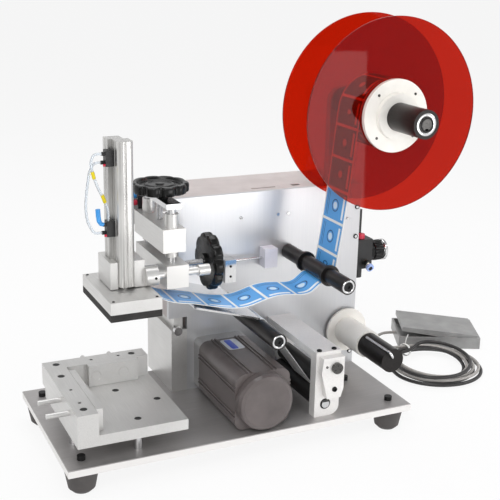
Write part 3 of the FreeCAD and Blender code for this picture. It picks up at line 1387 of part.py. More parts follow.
# Spare cable, wound into one coil that lies on the floor beside the machine.
coil_sides = 8
half_flat = S.coil_thick * math.tan(math.pi / coil_sides)
coil_profile = [
    (S.coil_loop - S.coil_thick, 0 - half_flat), (S.coil_loop - half_flat, 0 - S.coil_thick),
    (S.coil_loop + half_flat, 0 - S.coil_thick), (S.coil_loop + S.coil_thick, 0 - half_flat),
    (S.coil_loop + S.coil_thick, half_flat), (S.coil_loop + half_flat, S.coil_thick),
    (S.coil_loop - half_flat, S.coil_thick), (S.coil_loop - S.coil_thick, half_flat),
]
node(turned("z", S.coil_x, S.coil_y, floor_z + S.coil_thick, coil_profile), "cable_coil")

# Mains plug: a tapered moulded body with two round pins, which lies against the coil.
plug_profile = [
    (0, 0), (S.plug_neck / 2, 0), (S.plug_round / 2, S.plug_taper), (S.plug_round / 2, S.plug_long),
    (0, S.plug_long),
]
plug_turn = Rotation(Vector(0, 0, 1), S.plug_angle.value) * AXLE_TURN["x"]
plug_away = S.coil_loop + S.coil_thick + S.slide_gap * 2
plug_z = floor_z + S.plug_round / 2
plug = turned("z", 0, 0, 0, plug_profile)
plug_x = S.coil_x + S.plug_angle.cosine() * plug_away
plug_y = S.coil_y + S.plug_angle.sine() * plug_away
place(plug, plug_x, plug_y, plug_z, plug_turn)
pins = []
for side in (-1, 1):
    pin_x = plug_x + S.plug_angle.cosine() * S.plug_long - S.plug_angle.sine() * (S.plug_pins / 2 * side)
    pin_y = plug_y + S.plug_angle.sine() * S.plug_long + S.plug_angle.cosine() * (S.plug_pins / 2 * side)
    pin = rod("x", 0, 0, 0, S.plug_pin, S.plug_pin_long)
    place(pin, pin_x, pin_y, plug_z, plug_turn)
    pins.append(pin)
group("mains_plug", plug, *pins)


def cord(route, across):
    """A tube along straight runs joined by tangent arcs, each 0.45 of its shorter run's reach."""
    edges = []
    radii = []
    start = route[0]
    length = 0
    for before, spot, after in zip(route, route[1:], route[2:]):
        come = (spot - before).normalize()
        leave = (after - spot).normalize()
        turn = come.getAngle(leave)
        reach = 0.45 * min((spot - before).Length, (after - spot).Length)
        radius = reach / math.tan(turn / 2)
        radii.append(round(radius, 1))
        first = spot - come * reach
        last = spot + leave * reach
        inward = (leave - come).normalize()
        centre = spot + inward * (radius / math.cos(turn / 2))
        middle = centre - inward * radius
        edges.append(Part.LineSegment(start, first).toShape())
        edges.append(Part.Arc(first, middle, last).toShape())
        start = last
    edges.append(Part.LineSegment(start, route[-1]).toShape())
    path = Part.Wire(edges)
    length = path.Length
    profile = Part.Wire(Part.makeCircle(across / 2, route[0], route[1] - route[0]))
    tube = path.makePipeShell([profile], True, True)
    section = math.pi * across * across / 4
    print(
        "cord length", round(length, 1), "radii", radii, "volume ratio",
        round(tube.Volume / section / length, 4)
    )
    return tube


# Air tubes: two clear tubes that bow out between the ports of the flow controls.
def between(share):
    """A height between the two flow controls."""
    return (S.valve_low_z + (S.valve_high_z - S.valve_low_z) * share).value


reach = port_x.value
top_port = (S.valve_high_z + S.port_spread).value
low_port = (S.valve_low_z - S.port_spread).value
inner_x = (control_x + S.port_aside).value
short_route = [
    (reach, top_port), (reach - 12, top_port), (reach - 17, between(0.95)), (reach - 13, between(0.76)),
    (reach - 6, between(0.58)), (inner_x - 6, between(0.43)), (inner_x, between(0.28)),
    (inner_x, (S.valve_low_z + S.valve_height / 2).value),
]
long_route = [
    (reach, (S.valve_high_z - S.port_spread).value), (reach - 10, (S.valve_high_z - S.port_spread).value),
    (reach - 17, between(0.82)), (reach - 20, between(0.65)), (reach - 23, between(0.47)),
    (reach - 24, between(0.29)), (reach - 22, between(0.11)), (reach - 12, low_port), (reach, low_port),
]
tubes = []
for route, across in ((short_route, control_y - S.port_aside), (long_route, control_y + S.port_aside)):
    tubes.append(cord([machine(x, across, z) for x, z in route], S.tube_air.value))
air_tubes = doc.addObject("Part::Feature", "AirTubes")
air_tubes.Shape = Part.makeCompound(tubes)
node(air_tubes, "air_tubes")

# Glands at the foot of the housing's right side: for the mains lead and for the foot switch's lead.
glands = [
    rod("x", S.plate_right, y, S.gland_z, S.gland_round, S.gland_long) for y in (S.gland_y, S.lead_gland_y)
]
group("cable_glands", *glands)

# Cables: the mains lead and the foot switch's lead go down into the coil, and the lead goes on from there,
# round on the floor and into the end of the foot switch's tray.
mains_route = [
    machine(S.plate_right + S.gland_long, S.gland_y, S.gland_z), Vector(288, 160, 62), Vector(308, 157, 50),
    Vector(326, 149, 34), Vector(344, 135, 22.5), Vector(363.8, 116.5, 20),
]
lead_route = [
    machine(S.plate_right + S.gland_long, S.lead_gland_y, S.gland_z), Vector(287, 122, 62),
    Vector(306, 118, 50),
    Vector(322, 112, 33), Vector(338, 103.5, 22), Vector(355.6, 96.2, 20),
]
outlet = pedal_spot(0 - half_long, 0)
foot_route = [
    machine(*outlet, floor_z + S.pedal_base), Vector(446.6, 242.4, 12), Vector(427.5, 241.6, 8.5),
    Vector(409.8, 231.8, 4.5), Vector(397.8, 214.2, 4), Vector(394, 193.6, 9), Vector(399.3, 174.2, 17.5),
    Vector(407.1, 155.6, 20),
]
cables = (
    ("mains_lead", mains_route, S.cable_round), ("foot_lead", lead_route, S.foot_cable),
    ("foot_cable", foot_route, S.foot_cable),
)
for label, route, across in cables:
    cable = doc.addObject("Part::Feature", "Cable")
    cable.Shape = cord(route, across.value)
    node(cable, label)

# Check every object, then write one file per sub-part.
doc.recompute()
faults = [item.Name for item in doc.Objects if {"Invalid", "Error"} & set(item.State)]
faults += [item.Label for item in NODES if item.Shape.isNull() or not item.Shape.isValid()]
if faults:
    raise RuntimeError(f"objects that failed: {faults}")
os.makedirs("parts", exist_ok=True)
for item in NODES:
    item.Shape.exportStep(os.path.join("parts", f"{item.Label}.step"))
print("sub-parts written:", len(NODES))
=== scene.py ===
import bmesh
import bpy
import math
import numpy as np
from mathutils import Matrix, Vector


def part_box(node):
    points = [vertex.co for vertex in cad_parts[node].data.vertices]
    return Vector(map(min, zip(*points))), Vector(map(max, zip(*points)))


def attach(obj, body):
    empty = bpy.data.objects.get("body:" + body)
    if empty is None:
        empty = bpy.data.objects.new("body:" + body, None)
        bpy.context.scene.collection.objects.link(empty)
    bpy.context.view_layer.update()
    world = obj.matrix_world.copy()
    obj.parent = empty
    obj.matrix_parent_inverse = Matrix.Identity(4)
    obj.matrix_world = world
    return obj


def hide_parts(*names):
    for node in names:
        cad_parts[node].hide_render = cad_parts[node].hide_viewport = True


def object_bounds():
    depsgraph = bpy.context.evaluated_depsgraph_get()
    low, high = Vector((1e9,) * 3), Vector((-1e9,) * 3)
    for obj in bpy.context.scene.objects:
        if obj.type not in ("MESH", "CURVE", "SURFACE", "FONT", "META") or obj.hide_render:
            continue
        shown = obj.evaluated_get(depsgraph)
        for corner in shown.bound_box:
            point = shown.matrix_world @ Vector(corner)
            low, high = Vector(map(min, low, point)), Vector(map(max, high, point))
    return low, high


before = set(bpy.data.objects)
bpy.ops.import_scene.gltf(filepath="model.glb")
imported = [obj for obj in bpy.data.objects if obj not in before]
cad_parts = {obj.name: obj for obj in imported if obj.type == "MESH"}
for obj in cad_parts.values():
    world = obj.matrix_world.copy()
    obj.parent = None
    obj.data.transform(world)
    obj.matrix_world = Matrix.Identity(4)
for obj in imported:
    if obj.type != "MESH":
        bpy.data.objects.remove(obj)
cad_low, cad_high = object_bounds()

# Camera. A short telephoto on a stand in front and to the left of the machine, a little above the
# height of the label reel, tipped down to the base plate and rolled by just over a degree.
eye = Vector((-0.67235, -1.4303, 0.796))
look = Vector((0.41004, 0.86410, -0.29187)).normalized()
level = Vector((0.9034, -0.4287, 0)).normalized()
roll = math.radians(1.33)
right = level * math.cos(roll) + level.cross(look) * math.sin(roll)
up = right.cross(look)
lens = bpy.data.cameras.new("camera")
lens.lens = 71.83
lens.sensor_width = 36
lens.clip_end = 30
camera = bpy.data.objects.new("camera", lens)
camera.matrix_world = Matrix((
    (right.x, up.x, -look.x, eye.x), (right.y, up.y, -look.y, eye.y),
    (right.z, up.z, -look.z, eye.z), (0, 0, 0, 1),
))
bpy.context.collection.objects.link(camera)
bpy.context.scene.camera = camera
bpy.context.scene.view_settings.view_transform = "Standard"

# Cables. A black mains lead and the grey lead of the foot switch leave two glands at the foot of the
# housing, dip to the floor and run into one loose coil that a white tie holds. The grey lead goes on
# from the coil to the foot switch, and the black one ends in its plug beside the coil.
coil_low, coil_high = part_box("cable_coil")
coil_x = (coil_low.x + coil_high.x) / 2
coil_y = (coil_low.y + coil_high.y) / 2
coil_outer = (coil_high.x - coil_low.x) / 2
coil_mid = coil_outer - 0.020
tie_angle = 104
mains_width = 0.007
foot_width = 0.006


def loose_turns(first, last, lane_first, lane_last, low, high, shift=(0, 0)):
    """Places of coiled turns: lane and stacking height change evenly with the angle. With slack, half of
    one minus the cosine of the angle from the tie, a turn swells, sinks to low and shifts aside; at the
    tie all are gathered."""
    places_per_turn = 15
    at_tie, in_slack = 0.36, 0.75
    weave, heave = 0.0015, 0.0010
    count = int(abs(last - first) / 360 * places_per_turn)
    spots = []
    for step in range(count + 1):
        share = step / count
        angle = math.radians(first + (last - first) * share)
        slack = (1 - math.cos(angle - math.radians(tie_angle))) / 2
        lane = lane_first + (lane_last - lane_first) * share
        radius = coil_mid + lane * (at_tie + in_slack * slack) + weave * math.sin(angle * 2.3)
        rise = low + (high - low) * share * (1 - slack) + heave * slack * (1 + math.sin(angle * 1.7))
        spots.append((coil_x + radius * math.cos(angle) + shift[0] * slack,
                      coil_y + radius * math.sin(angle) + shift[1] * slack, rise))
    return spots


mains_route = [
    (0.26475, 0.160, 0.062), (0.288, 0.160, 0.062), (0.308, 0.157, 0.050), (0.326, 0.149, 0.034),
    (0.343, 0.135, 0.0225), (0.3585, 0.1185, 0.015), (0.3625, 0.100, 0.008),
]
mains_route += loose_turns(188, 1184, 0.024, -0.020, 0.0042, 0.0180)
mains_route += loose_turns(1208, 1500, -0.002, 0.022, 0.0240, 0.0240, shift=(-0.034, -0.012))


def toward_plug(along, aside, rise):
    """A place from the coil's middle: along the way the plug points, and aside from it clockwise."""
    plug_angle = math.radians(130)
    return (coil_x + along * math.cos(plug_angle) + aside * math.sin(plug_angle),
            coil_y + along * math.sin(plug_angle) - aside * math.cos(plug_angle), rise)


mains_route += [
    toward_plug(0.0485, 0.0550, 0.0235), toward_plug(0.0490, 0.0315, 0.0222),
    toward_plug(0.0600, 0.0125, 0.0190), toward_plug(0.0785, 0.0005, 0.0152),
    toward_plug(0.0950, 0.0, 0.0130), toward_plug(0.1020, 0.0, 0.0130),
]
foot_route = [
    (0.26475, 0.122, 0.062), (0.287, 0.122, 0.062), (0.306, 0.118, 0.050), (0.322, 0.112, 0.033),
    (0.3365, 0.1042, 0.0225), (0.3490, 0.0950, 0.0185), (0.3570, 0.0790, 0.0150),
]
foot_route += loose_turns(192, 196 + 2.69 * 360, 0.017, -0.012, 0.0112, 0.0195)
foot_route += [
    (0.4225, 0.1420, 0.0215), (0.4075, 0.1455, 0.0200), (0.3975, 0.1560, 0.0175), (0.3945, 0.1700, 0.0135),
    (0.3945, 0.1860, 0.0090), (0.3960, 0.2010, 0.0055), (0.4005, 0.2155, 0.004), (0.4110, 0.2310, 0.0045),
    (0.4275, 0.2416, 0.0085), (0.4466, 0.2424, 0.012), (0.46471, 0.23392, 0.012),
]


def lay_cable(name, route, width):
    """A round cable on one smooth open spline, with the route's places as its control points."""
    curve = bpy.data.curves.new(name, "CURVE")
    curve.dimensions = "3D"
    spline = curve.splines.new("NURBS")
    spline.points.add(len(route) - 1)
    for point, place in zip(spline.points, route):
        point.co = (*place, 1)
        point.radius = width / 2
    spline.order_u = 3
    spline.use_endpoint_u = True
    spline.resolution_u = 6
    curve.bevel_depth = 1
    curve.bevel_resolution = 4
    curve.use_fill_caps = True
    cable = bpy.data.objects.new(name, curve)
    bpy.context.collection.objects.link(cable)
    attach(cable, "frame")
    return cable


def middle_line(cable):
    """The points that a cable's spline runs through, read from its curve with no thickness."""
    thick = cable.data.bevel_depth
    cable.data.bevel_depth = 0
    bpy.context.view_layer.update()
    line = bpy.data.meshes.new_from_object(cable)
    cable.data.bevel_depth = thick
    places = np.empty(len(line.vertices) * 3)
    line.vertices.foreach_get("co", places)
    return places.reshape(-1, 3)


mains_cable = lay_cable("mains_cable", mains_route, mains_width)
foot_switch_cable = lay_cable("foot_switch_cable", foot_route, foot_width)
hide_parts("mains_lead", "cable_coil")
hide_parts("foot_lead", "foot_cable", "cable_coil")
mains_line = middle_line(mains_cable)
foot_line = middle_line(foot_switch_cable)


def surface(name, grids, around=False, body="frame", crease=35):
    """A skin of quads over one grid of points or several: each place is joined to the next along its
    row and its column, and with around each row closes on itself. Places that coincide at a pole are
    merged."""
    grids = np.asarray(grids)
    grids = grids.reshape(-1, *grids.shape[-3:])
    count, rows, columns = grids.shape[:3]
    row, column = np.meshgrid(
        np.arange(rows - 1), np.arange(columns if around else columns - 1), indexing="ij"
    )
    beside = (column + 1) % columns
    corners = np.stack((row * columns + column, row * columns + beside, (row + 1) * columns + beside,
                        (row + 1) * columns + column), -1)
    quads = corners.reshape(1, -1, 4) + (np.arange(count) * rows * columns)[:, None, None]
    mesh = bpy.data.meshes.new(name)
    mesh.from_pydata(grids.reshape(-1, 3).tolist(), [], quads.reshape(-1, 4).tolist())
    return settle(name, mesh, body, crease)


def settle(name, mesh, body, crease=35):
    """Merges coincident points, turns the faces outwards, smooths all but sharp edges, and lets the
    piece ride on a body."""
    shape = bmesh.new()
    shape.from_mesh(mesh)
    bmesh.ops.remove_doubles(shape, verts=shape.verts, dist=1e-6)
    bmesh.ops.dissolve_degenerate(shape, edges=shape.edges, dist=1e-7)
    bmesh.ops.recalc_face_normals(shape, faces=shape.faces)
    shape.to_mesh(mesh)
    shape.free()
    mesh.shade_smooth()
    mesh.set_sharp_from_angle(angle=math.radians(crease))
    piece = bpy.data.objects.new(name, mesh)
    bpy.context.collection.objects.link(piece)
    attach(piece, body)
    return piece


def sleeve(places, radii, sides=24):
    """A tube along a line: at each place, a circle of that place's radius square to the line's run."""
    run = np.gradient(places, axis=0)
    run /= np.linalg.norm(run, axis=1)[:, None]
    aside = np.cross(run, (0.13, 0.31, 0.94))
    aside /= np.linalg.norm(aside, axis=1)[:, None]
    over = np.cross(aside, run)
    angle = np.linspace(0, 2 * np.pi, sides, endpoint=False)[None, :, None]
    circle = np.cos(angle) * aside[:, None] + np.sin(angle) * over[:, None]
    return places[:, None] + circle * np.asarray(radii)[:, None, None]


def relief_along(name, line, width, reach):
    """A moulded strain relief: its radius falls evenly from the gland to the jacket, and a cosine cuts
    eight shallow grooves into it."""
    far = np.concatenate(([0], np.cumsum(np.linalg.norm(np.diff(line, axis=0), axis=1))))
    share = np.linspace(0, 1, 65)
    places = np.stack([np.interp(share * reach, far, line[:, axis]) for axis in range(3)], -1)
    radius = width * (1.12 - 0.52 * share) + 0.00035 * np.cos(share * 16 * np.pi)
    radius[0] = radius[-1] = width * 0.45
    return surface(name, sleeve(places, radius), around=True)


mains_relief = relief_along("mains_relief", mains_line, mains_width, 0.032)
foot_relief = relief_along("foot_relief", foot_line, foot_width, 0.024)

# The tie is one band of white nylon drawn round the bundle, with its cut tail standing up.
tie_turn = math.radians(tie_angle)
outward = np.array((math.cos(tie_turn), math.sin(tie_turn), 0))
onward = np.array((-math.sin(tie_turn), math.cos(tie_turn), 0))
bundle = np.array((coil_x, coil_y, 0)) + outward * coil_mid
sweep = np.linspace(0, 2 * np.pi, 48, endpoint=False)
band_out = 0.0134 * np.cos(sweep)
band_up = 0.0136 + 0.0116 * np.sin(sweep)
loop = bundle + band_out[:, None] * outward + band_up[:, None] * (0, 0, 1)
normal = np.cos(sweep)[:, None] * outward + np.sin(sweep)[:, None] * (0, 0, 1)
half_wide = 0.0022 * onward
shell = np.stack((loop - half_wide, loop + half_wide, loop + half_wide + normal * 0.0011,
                  loop - half_wide + normal * 0.0011))
cable_tie = surface("cable_tie", np.concatenate((shell, shell[:1])), around=True)
tail_rise = np.linspace(0, 1, 12)[:, None]
tail_line = bundle + (0, 0, 0.0258) + tail_rise * (0, 0, 0.024) - tail_rise ** 2 * outward * 0.006
tail_radius = np.interp(tail_rise[:, 0], (0, 0.02, 0.98, 1), (0, 0.0013, 0.0011, 0))
tie_tail = surface("tie_tail", sleeve(tail_line, tail_radius, 8), around=True)


def linear(hex_colour):
    """An sRGB hex colour as linear red, green, blue and full alpha."""
    parts = [int(hex_colour[i:i + 2], 16) / 255 for i in (1, 3, 5)]
    return [c / 12.92 if c <= 0.04045 else ((c + 0.055) / 1.055) ** 2.4 for c in parts] + [1]


def add(tree, kind, settings=None, links=None):
    """Adds one shader node, sets its attributes or unlinked sockets, and links its other sockets."""
    node = tree.nodes.new("ShaderNode" + kind)
    for key, value in (settings or {}).items():
        if isinstance(key, int) or key in node.inputs:
            node.inputs[key].default_value = value
        else:
            setattr(node, key, value)
    for key, socket in (links or {}).items():
        tree.links.new(socket, node.inputs[key])
    return node


def begin(name):
    """A new empty material with an output node: returns the material, its tree, its output and the
    Object coordinate."""
    material = bpy.data.materials.new(name)
    material.use_nodes = True
    tree = material.node_tree
    tree.nodes.clear()
    output = add(tree, "OutputMaterial")
    place = add(tree, "TexCoord").outputs["Object"]
    return material, tree, output, place


def dress(material, *names):
    """Gives CAD nodes, or new pieces, one material all over."""
    for name in names:
        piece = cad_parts[name] if isinstance(name, str) else name
        if not piece.data.materials:
            piece.data.materials.append(material)
        for index in range(len(piece.data.materials)):
            piece.data.materials[index] = material


def jacket(name, hex_colour, roughness):
    """PVC cable jacket, extruded: a smooth satin skin with faint die lines and a little dust."""
    material, tree, output, place = begin(name)
    dust = add(tree, "TexNoise", {"Scale": 1 / 0.012, "Detail": 5.0}, {"Vector": place})
    tone = add(tree, "ValToRGB", None, {"Fac": dust.outputs["Fac"]})
    base = linear(hex_colour)
    tone.color_ramp.elements[0].color = [c * 0.82 for c in base[:3]] + [1]
    tone.color_ramp.elements[1].color = [min(1, c * 1.2 + 0.004) for c in base[:3]] + [1]
    gloss = add(tree, "MapRange", {"To Min": roughness - 0.08, "To Max": roughness + 0.10},
                {"Value": dust.outputs["Fac"]})
    fine = add(tree, "TexNoise", {"Scale": 1 / 0.0012, "Detail": 2.0}, {"Vector": place})
    relief = add(tree, "Bump", {"Strength": 0.12, "Distance": 0.0002}, {"Height": fine.outputs["Fac"]})
    skin = add(tree, "BsdfPrincipled", {"IOR": 1.5},
               {"Base Color": tone.outputs["Color"], "Roughness": gloss.outputs["Result"],
                "Normal": relief.outputs["Normal"]})
    tree.links.new(skin.outputs["BSDF"], output.inputs["Surface"])
    return material


black_jacket = jacket("black_pvc_jacket", "#201e1e", 0.38)
grey_jacket = jacket("grey_pvc_jacket", "#a3a09c", 0.42)
white_nylon = jacket("white_nylon_tie", "#eeeeea", 0.40)
for piece, material in ((mains_cable, black_jacket), (mains_relief, black_jacket),
                        (foot_switch_cable, grey_jacket), (foot_relief, grey_jacket),
                        (cable_tie, white_nylon), (tie_tail, white_nylon)):
    dress(material, piece)
dress(black_jacket, "mains_lead", "mains_plug", "cable_coil")
dress(grey_jacket, "foot_lead", "foot_cable")


# Base plate. 12 mm aluminium plate, sawn, brushed along its length and clear anodised, with milled
# edges painted lighter, a painted highlight on the side faces. Four rubber feet are screwed under it.
def brushed(name, hex_dark, hex_light, roughness, grain, metallic=0.85, depth=0.00004):
    """Brushed or ground metal: noise stretched along the grain, whose three lengths are in metres,
    shades the tone, the roughness and a very shallow bump."""
    material, tree, output, place = begin(name)
    stretch = add(tree, "Mapping", {"Scale": [1 / length for length in grain]}, {"Vector": place})
    hair = add(tree, "TexNoise", {"Scale": 1.0, "Detail": 3.0}, {"Vector": stretch.outputs["Vector"]})
    cloud = add(tree, "TexNoise", {"Scale": 1 / 0.09, "Detail": 2.0}, {"Vector": place})
    both = add(tree, "Math", {"operation": "MULTIPLY_ADD", 1: 0.45}, {0: cloud.outputs["Fac"]})
    part = add(tree, "Math", {"operation": "MULTIPLY", 1: 0.55}, {0: hair.outputs["Fac"]})
    tree.links.new(part.outputs[0], both.inputs[2])
    tone = add(tree, "ValToRGB", None, {"Fac": both.outputs[0]})
    tone.color_ramp.elements[0].position = 0.32
    tone.color_ramp.elements[0].color = linear(hex_dark)
    tone.color_ramp.elements[1].position = 0.68
    tone.color_ramp.elements[1].color = linear(hex_light)
    gloss = add(tree, "MapRange", {"To Min": roughness - 0.05, "To Max": roughness + 0.08},
                {"Value": hair.outputs["Fac"]})
    relief = add(tree, "Bump", {"Strength": 0.5, "Distance": depth}, {"Height": hair.outputs["Fac"]})
    skin = add(tree, "BsdfPrincipled", {"Metallic": metallic},
               {"Base Color": tone.outputs["Color"], "Roughness": gloss.outputs["Result"],
                "Normal": relief.outputs["Normal"]})
    tree.links.new(skin.outputs["BSDF"], output.inputs["Surface"])
    return material


def paint_side_highlight(material, hex_colour):
    """Painted highlight on the side faces: where the normal lies level, the tone is lighter."""
    tree = material.node_tree
    tone = next(node for node in tree.nodes if node.type == "VALTORGB")
    skin = next(node for node in tree.nodes if node.type == "BSDF_PRINCIPLED")
    facing = add(tree, "SeparateXYZ", None, {"Vector": add(tree, "NewGeometry").outputs["Normal"]})
    upright = add(tree, "Math", {"operation": "ABSOLUTE"}, {0: facing.outputs["Z"]})
    level = add(tree, "Math", {"operation": "LESS_THAN", 1: 0.5}, {0: upright.outputs[0]})
    mixed = add(tree, "Mix", {"data_type": "RGBA", 7: linear(hex_colour)},
                {0: level.outputs[0], 6: tone.outputs["Color"]})
    tree.links.new(mixed.outputs[2], skin.inputs["Base Color"])


def moulded(name, hex_dark, hex_light, roughness, grit, depth, metallic=0.0, coat=0.0, ior=1.5):
    """Moulded, cast or painted skin: grit-sized noise gives its bump and a broad noise its tone."""
    material, tree, output, place = begin(name)
    grain = add(tree, "TexNoise", {"Scale": 1 / grit, "Detail": 3.0, "Roughness": 0.6}, {"Vector": place})
    cloud = add(tree, "TexNoise", {"Scale": 1 / 0.03, "Detail": 4.0}, {"Vector": place})
    tone = add(tree, "ValToRGB", None, {"Fac": cloud.outputs["Fac"]})
    tone.color_ramp.elements[0].position = 0.3
    tone.color_ramp.elements[0].color = linear(hex_dark)
    tone.color_ramp.elements[1].position = 0.7
    tone.color_ramp.elements[1].color = linear(hex_light)
    gloss = add(tree, "MapRange", {"To Min": roughness - 0.06, "To Max": roughness + 0.08},
                {"Value": cloud.outputs["Fac"]})
    relief = add(tree, "Bump", {"Strength": 0.6, "Distance": depth}, {"Height": grain.outputs["Fac"]})
    skin = add(tree, "BsdfPrincipled",
               {"Metallic": metallic, "Coat Weight": coat, "Coat Roughness": 0.2, "IOR": ior},
               {"Base Color": tone.outputs["Color"], "Roughness": gloss.outputs["Result"],
                "Normal": relief.outputs["Normal"]})
    tree.links.new(skin.outputs["BSDF"], output.inputs["Surface"])
    return material


# The hairlines are really 0.1 mm apart; 0.6 mm is the finest that shows at this distance.
base_finish = brushed("brushed_anodised_plate", "#a3a09f", "#bdbab9", 0.40, (0.060, 0.0006, 0.0006), 0.6)
# The light tone of the side faces is a painted highlight.
paint_side_highlight(base_finish, "#ebe9e7")
dress(base_finish, "base_plate")
dress(moulded("grey_foot_rubber", "#454241", "#555150", 0.62, 0.0011, 0.0002), "rubber_feet")

# Stop fixture. Milled and satin anodised aluminium: a lower plate on four pillars, two bars in an L and
# two stop plates that slide out of them on ground studs, locked by black set screws.
satin_finish = brushed("satin_milled_alloy", "#c6c5c3", "#dddcda", 0.34, (0.0008, 0.040, 0.0008), 0.7)
dress(satin_finish, "fixture_plate", "left_stop_bar", "rear_stop_bar", "left_stop_plate",
      "rear_stop_plate", "support_leg", "slide_block", "carriage_block", "head_block", "press_plate",
      "reel_arm")
dress(brushed("bead_blasted_alloy", "#d9d7d5", "#efedeb", 0.46, (0.0012, 0.0012, 0.0012), 0.30),
      "pinch_arms", "nip_bracket")
steel_finish = brushed("ground_steel", "#b9b9ba", "#d8d8d9", 0.17, (0.0007, 0.0007, 0.030), 1.0)
dress(steel_finish, "fixture_pillars", "guide_posts", "peel_plate", "traction_shaft")
dress(brushed("dark_turned_steel", "#4c4b4a", "#6d6b69", 0.26, (0.0010, 0.0200, 0.0010), 0.9),
      "fixed_axles")
oxide_finish = moulded("black_oxide_steel", "#151515", "#242425", 0.36, 0.0006, 0.00005, metallic=0.6)
dress(oxide_finish, "cap_screws")
chrome_finish = brushed("bright_plated_steel", "#cfcfd0", "#e4e4e4", 0.10, (0.0007, 0.0007, 0.02), 1.0)
dress(chrome_finish, "panel_screws", "sensor_rod", "rewind_clip")

# Front plate and housing. The plate is light anodised aluminium with an upright grain that mirrors a
# little; the cover behind it is folded sheet with a light grey powder coat.
plate_finish = brushed("anodised_front_plate", "#c6c7ca", "#cfcfd0", 0.30, (0.0009, 0.0009, 0.080), 0.62,
                       0.000003)
dress(plate_finish, "front_plate")
coat_finish = moulded("light_grey_powder_coat", "#c3bab8", "#cfc7c5", 0.50, 0.0012, 0.00010)
dress(coat_finish, "housing_cover")

# Reel. Two clear red acrylic discs on a black anodised tube, with a turned white hub that clamps the
# front disc, and between them the roll of labels on its core.
red_material, tree, output, place = begin("clear_red_acrylic")
swirl = add(tree, "TexNoise", {"Scale": 1 / 0.16, "Detail": 1.0}, {"Vector": place})
tint = add(tree, "ValToRGB", None, {"Fac": swirl.outputs["Fac"]})
tint.color_ramp.elements[0].color = linear("#b81a06")
tint.color_ramp.elements[1].color = linear("#c42008")
wave = add(tree, "Bump", {"Strength": 0.05, "Distance": 0.0002}, {"Height": swirl.outputs["Fac"]})
glass = add(tree, "BsdfPrincipled",
            {"Roughness": 0.03, "IOR": 1.22, "Transmission Weight": 0.94},
            {"Base Color": tint.outputs["Color"], "Normal": wave.outputs["Normal"]})
tree.links.new(glass.outputs["BSDF"], output.inputs["Surface"])
dress(red_material, "reel_front_disc", "reel_rear_disc")

black_finish = brushed("black_anodised_alloy", "#1f1d1d", "#343130", 0.30, (0.0008, 0.012, 0.0008), 0.65)
dress(black_finish, "reel_tube", "guide_roller", "lower_roller", "rewind_drum")
acetal_finish = moulded("turned_white_acetal", "#e9e6df", "#f3f0ea", 0.33, 0.0009, 0.00004)
dress(acetal_finish, "reel_hub", "rewind_flange")

# Label web. White glassine liner with light blue labels 48 by 64 mm, 52 mm apart. Each has a design of
# its own kind: a pale disc in a dark ring, a pale bar along one side and two thin rules along the other.
pitch = 0.052


def labels(name, along_socket_of):
    """Printed labels on a liner: the web's run is cut into equal cells, and each cell's own two places
    decide between liner, blue field, disc, ring, bar and rules."""
    material, tree, output, place = begin(name)
    axes = add(tree, "SeparateXYZ", None, {"Vector": place})
    cell, shown = along_socket_of(tree, axes)
    along = add(tree, "Math", {"operation": "MULTIPLY_ADD", 1: pitch, 2: -pitch / 2}, {0: cell}).outputs[0]
    across = add(tree, "Math", {"operation": "ADD", 1: 0.050}, {0: axes.outputs["Y"]}).outputs[0]

    def inside(socket, middle, half):
        """One within half of a middle place, else nought."""
        shift = add(tree, "Math", {"operation": "SUBTRACT", 1: middle}, {0: socket})
        size = add(tree, "Math", {"operation": "ABSOLUTE"}, {0: shift.outputs[0]})
        return add(tree, "Math", {"operation": "LESS_THAN", 1: half}, {0: size.outputs[0]}).outputs[0]

    def both(first, second):
        """One where both are one."""
        return add(tree, "Math", {"operation": "MULTIPLY"}, {0: first, 1: second}).outputs[0]

    def over(below, hex_colour, where):
        """A flat ink laid over what is below it."""
        mix = add(tree, "Mix", {"data_type": "RGBA", 7: linear(hex_colour)}, {0: where})
        tree.links.new(below, mix.inputs[6])
        return mix.outputs[2]

    spot = add(tree, "CombineXYZ", None, {"X": along, "Y": across})
    reach = add(tree, "VectorMath", {"operation": "LENGTH"}, {0: spot.outputs["Vector"]}).outputs["Value"]
    fibre = add(tree, "TexNoise", {"Scale": 1 / 0.004, "Detail": 4.0}, {"Vector": place})
    paper = add(tree, "ValToRGB", None, {"Fac": fibre.outputs["Fac"]})
    paper.color_ramp.elements[0].color = linear("#e6e8e8")
    paper.color_ramp.elements[1].color = linear("#f4f4f2")
    field = both(both(inside(along, 0, 0.0238), inside(across, 0, 0.032)), shown)
    ink = over(paper.outputs["Color"], "#58a5e6", field)
    ink = over(ink, "#eef4f8", both(field, both(inside(along, 0, 0.019), inside(across, -0.025, 0.0028))))
    rules = both(inside(along, 0, 0.020), add(tree, "Math", {"operation": "MAXIMUM"}, {
        0: inside(across, 0.021, 0.0006), 1: inside(across, 0.0255, 0.0006)}).outputs[0])
    ink = over(ink, "#1d4f8a", both(field, rules))
    ink = over(ink, "#1d4f8a", both(field, inside(reach, 0.0095, 0.0010)))
    ink = over(ink, "#cfe6f7", both(field, inside(reach, 0, 0.0060)))
    crease = add(tree, "Bump", {"Strength": 0.2, "Distance": 0.0003}, {"Height": fibre.outputs["Fac"]})
    skin = add(tree, "BsdfPrincipled", {"Roughness": 0.35, "IOR": 1.47},
               {"Base Color": ink, "Normal": crease.outputs["Normal"]})
    tree.links.new(skin.outputs["BSDF"], output.inputs["Surface"])
    return material


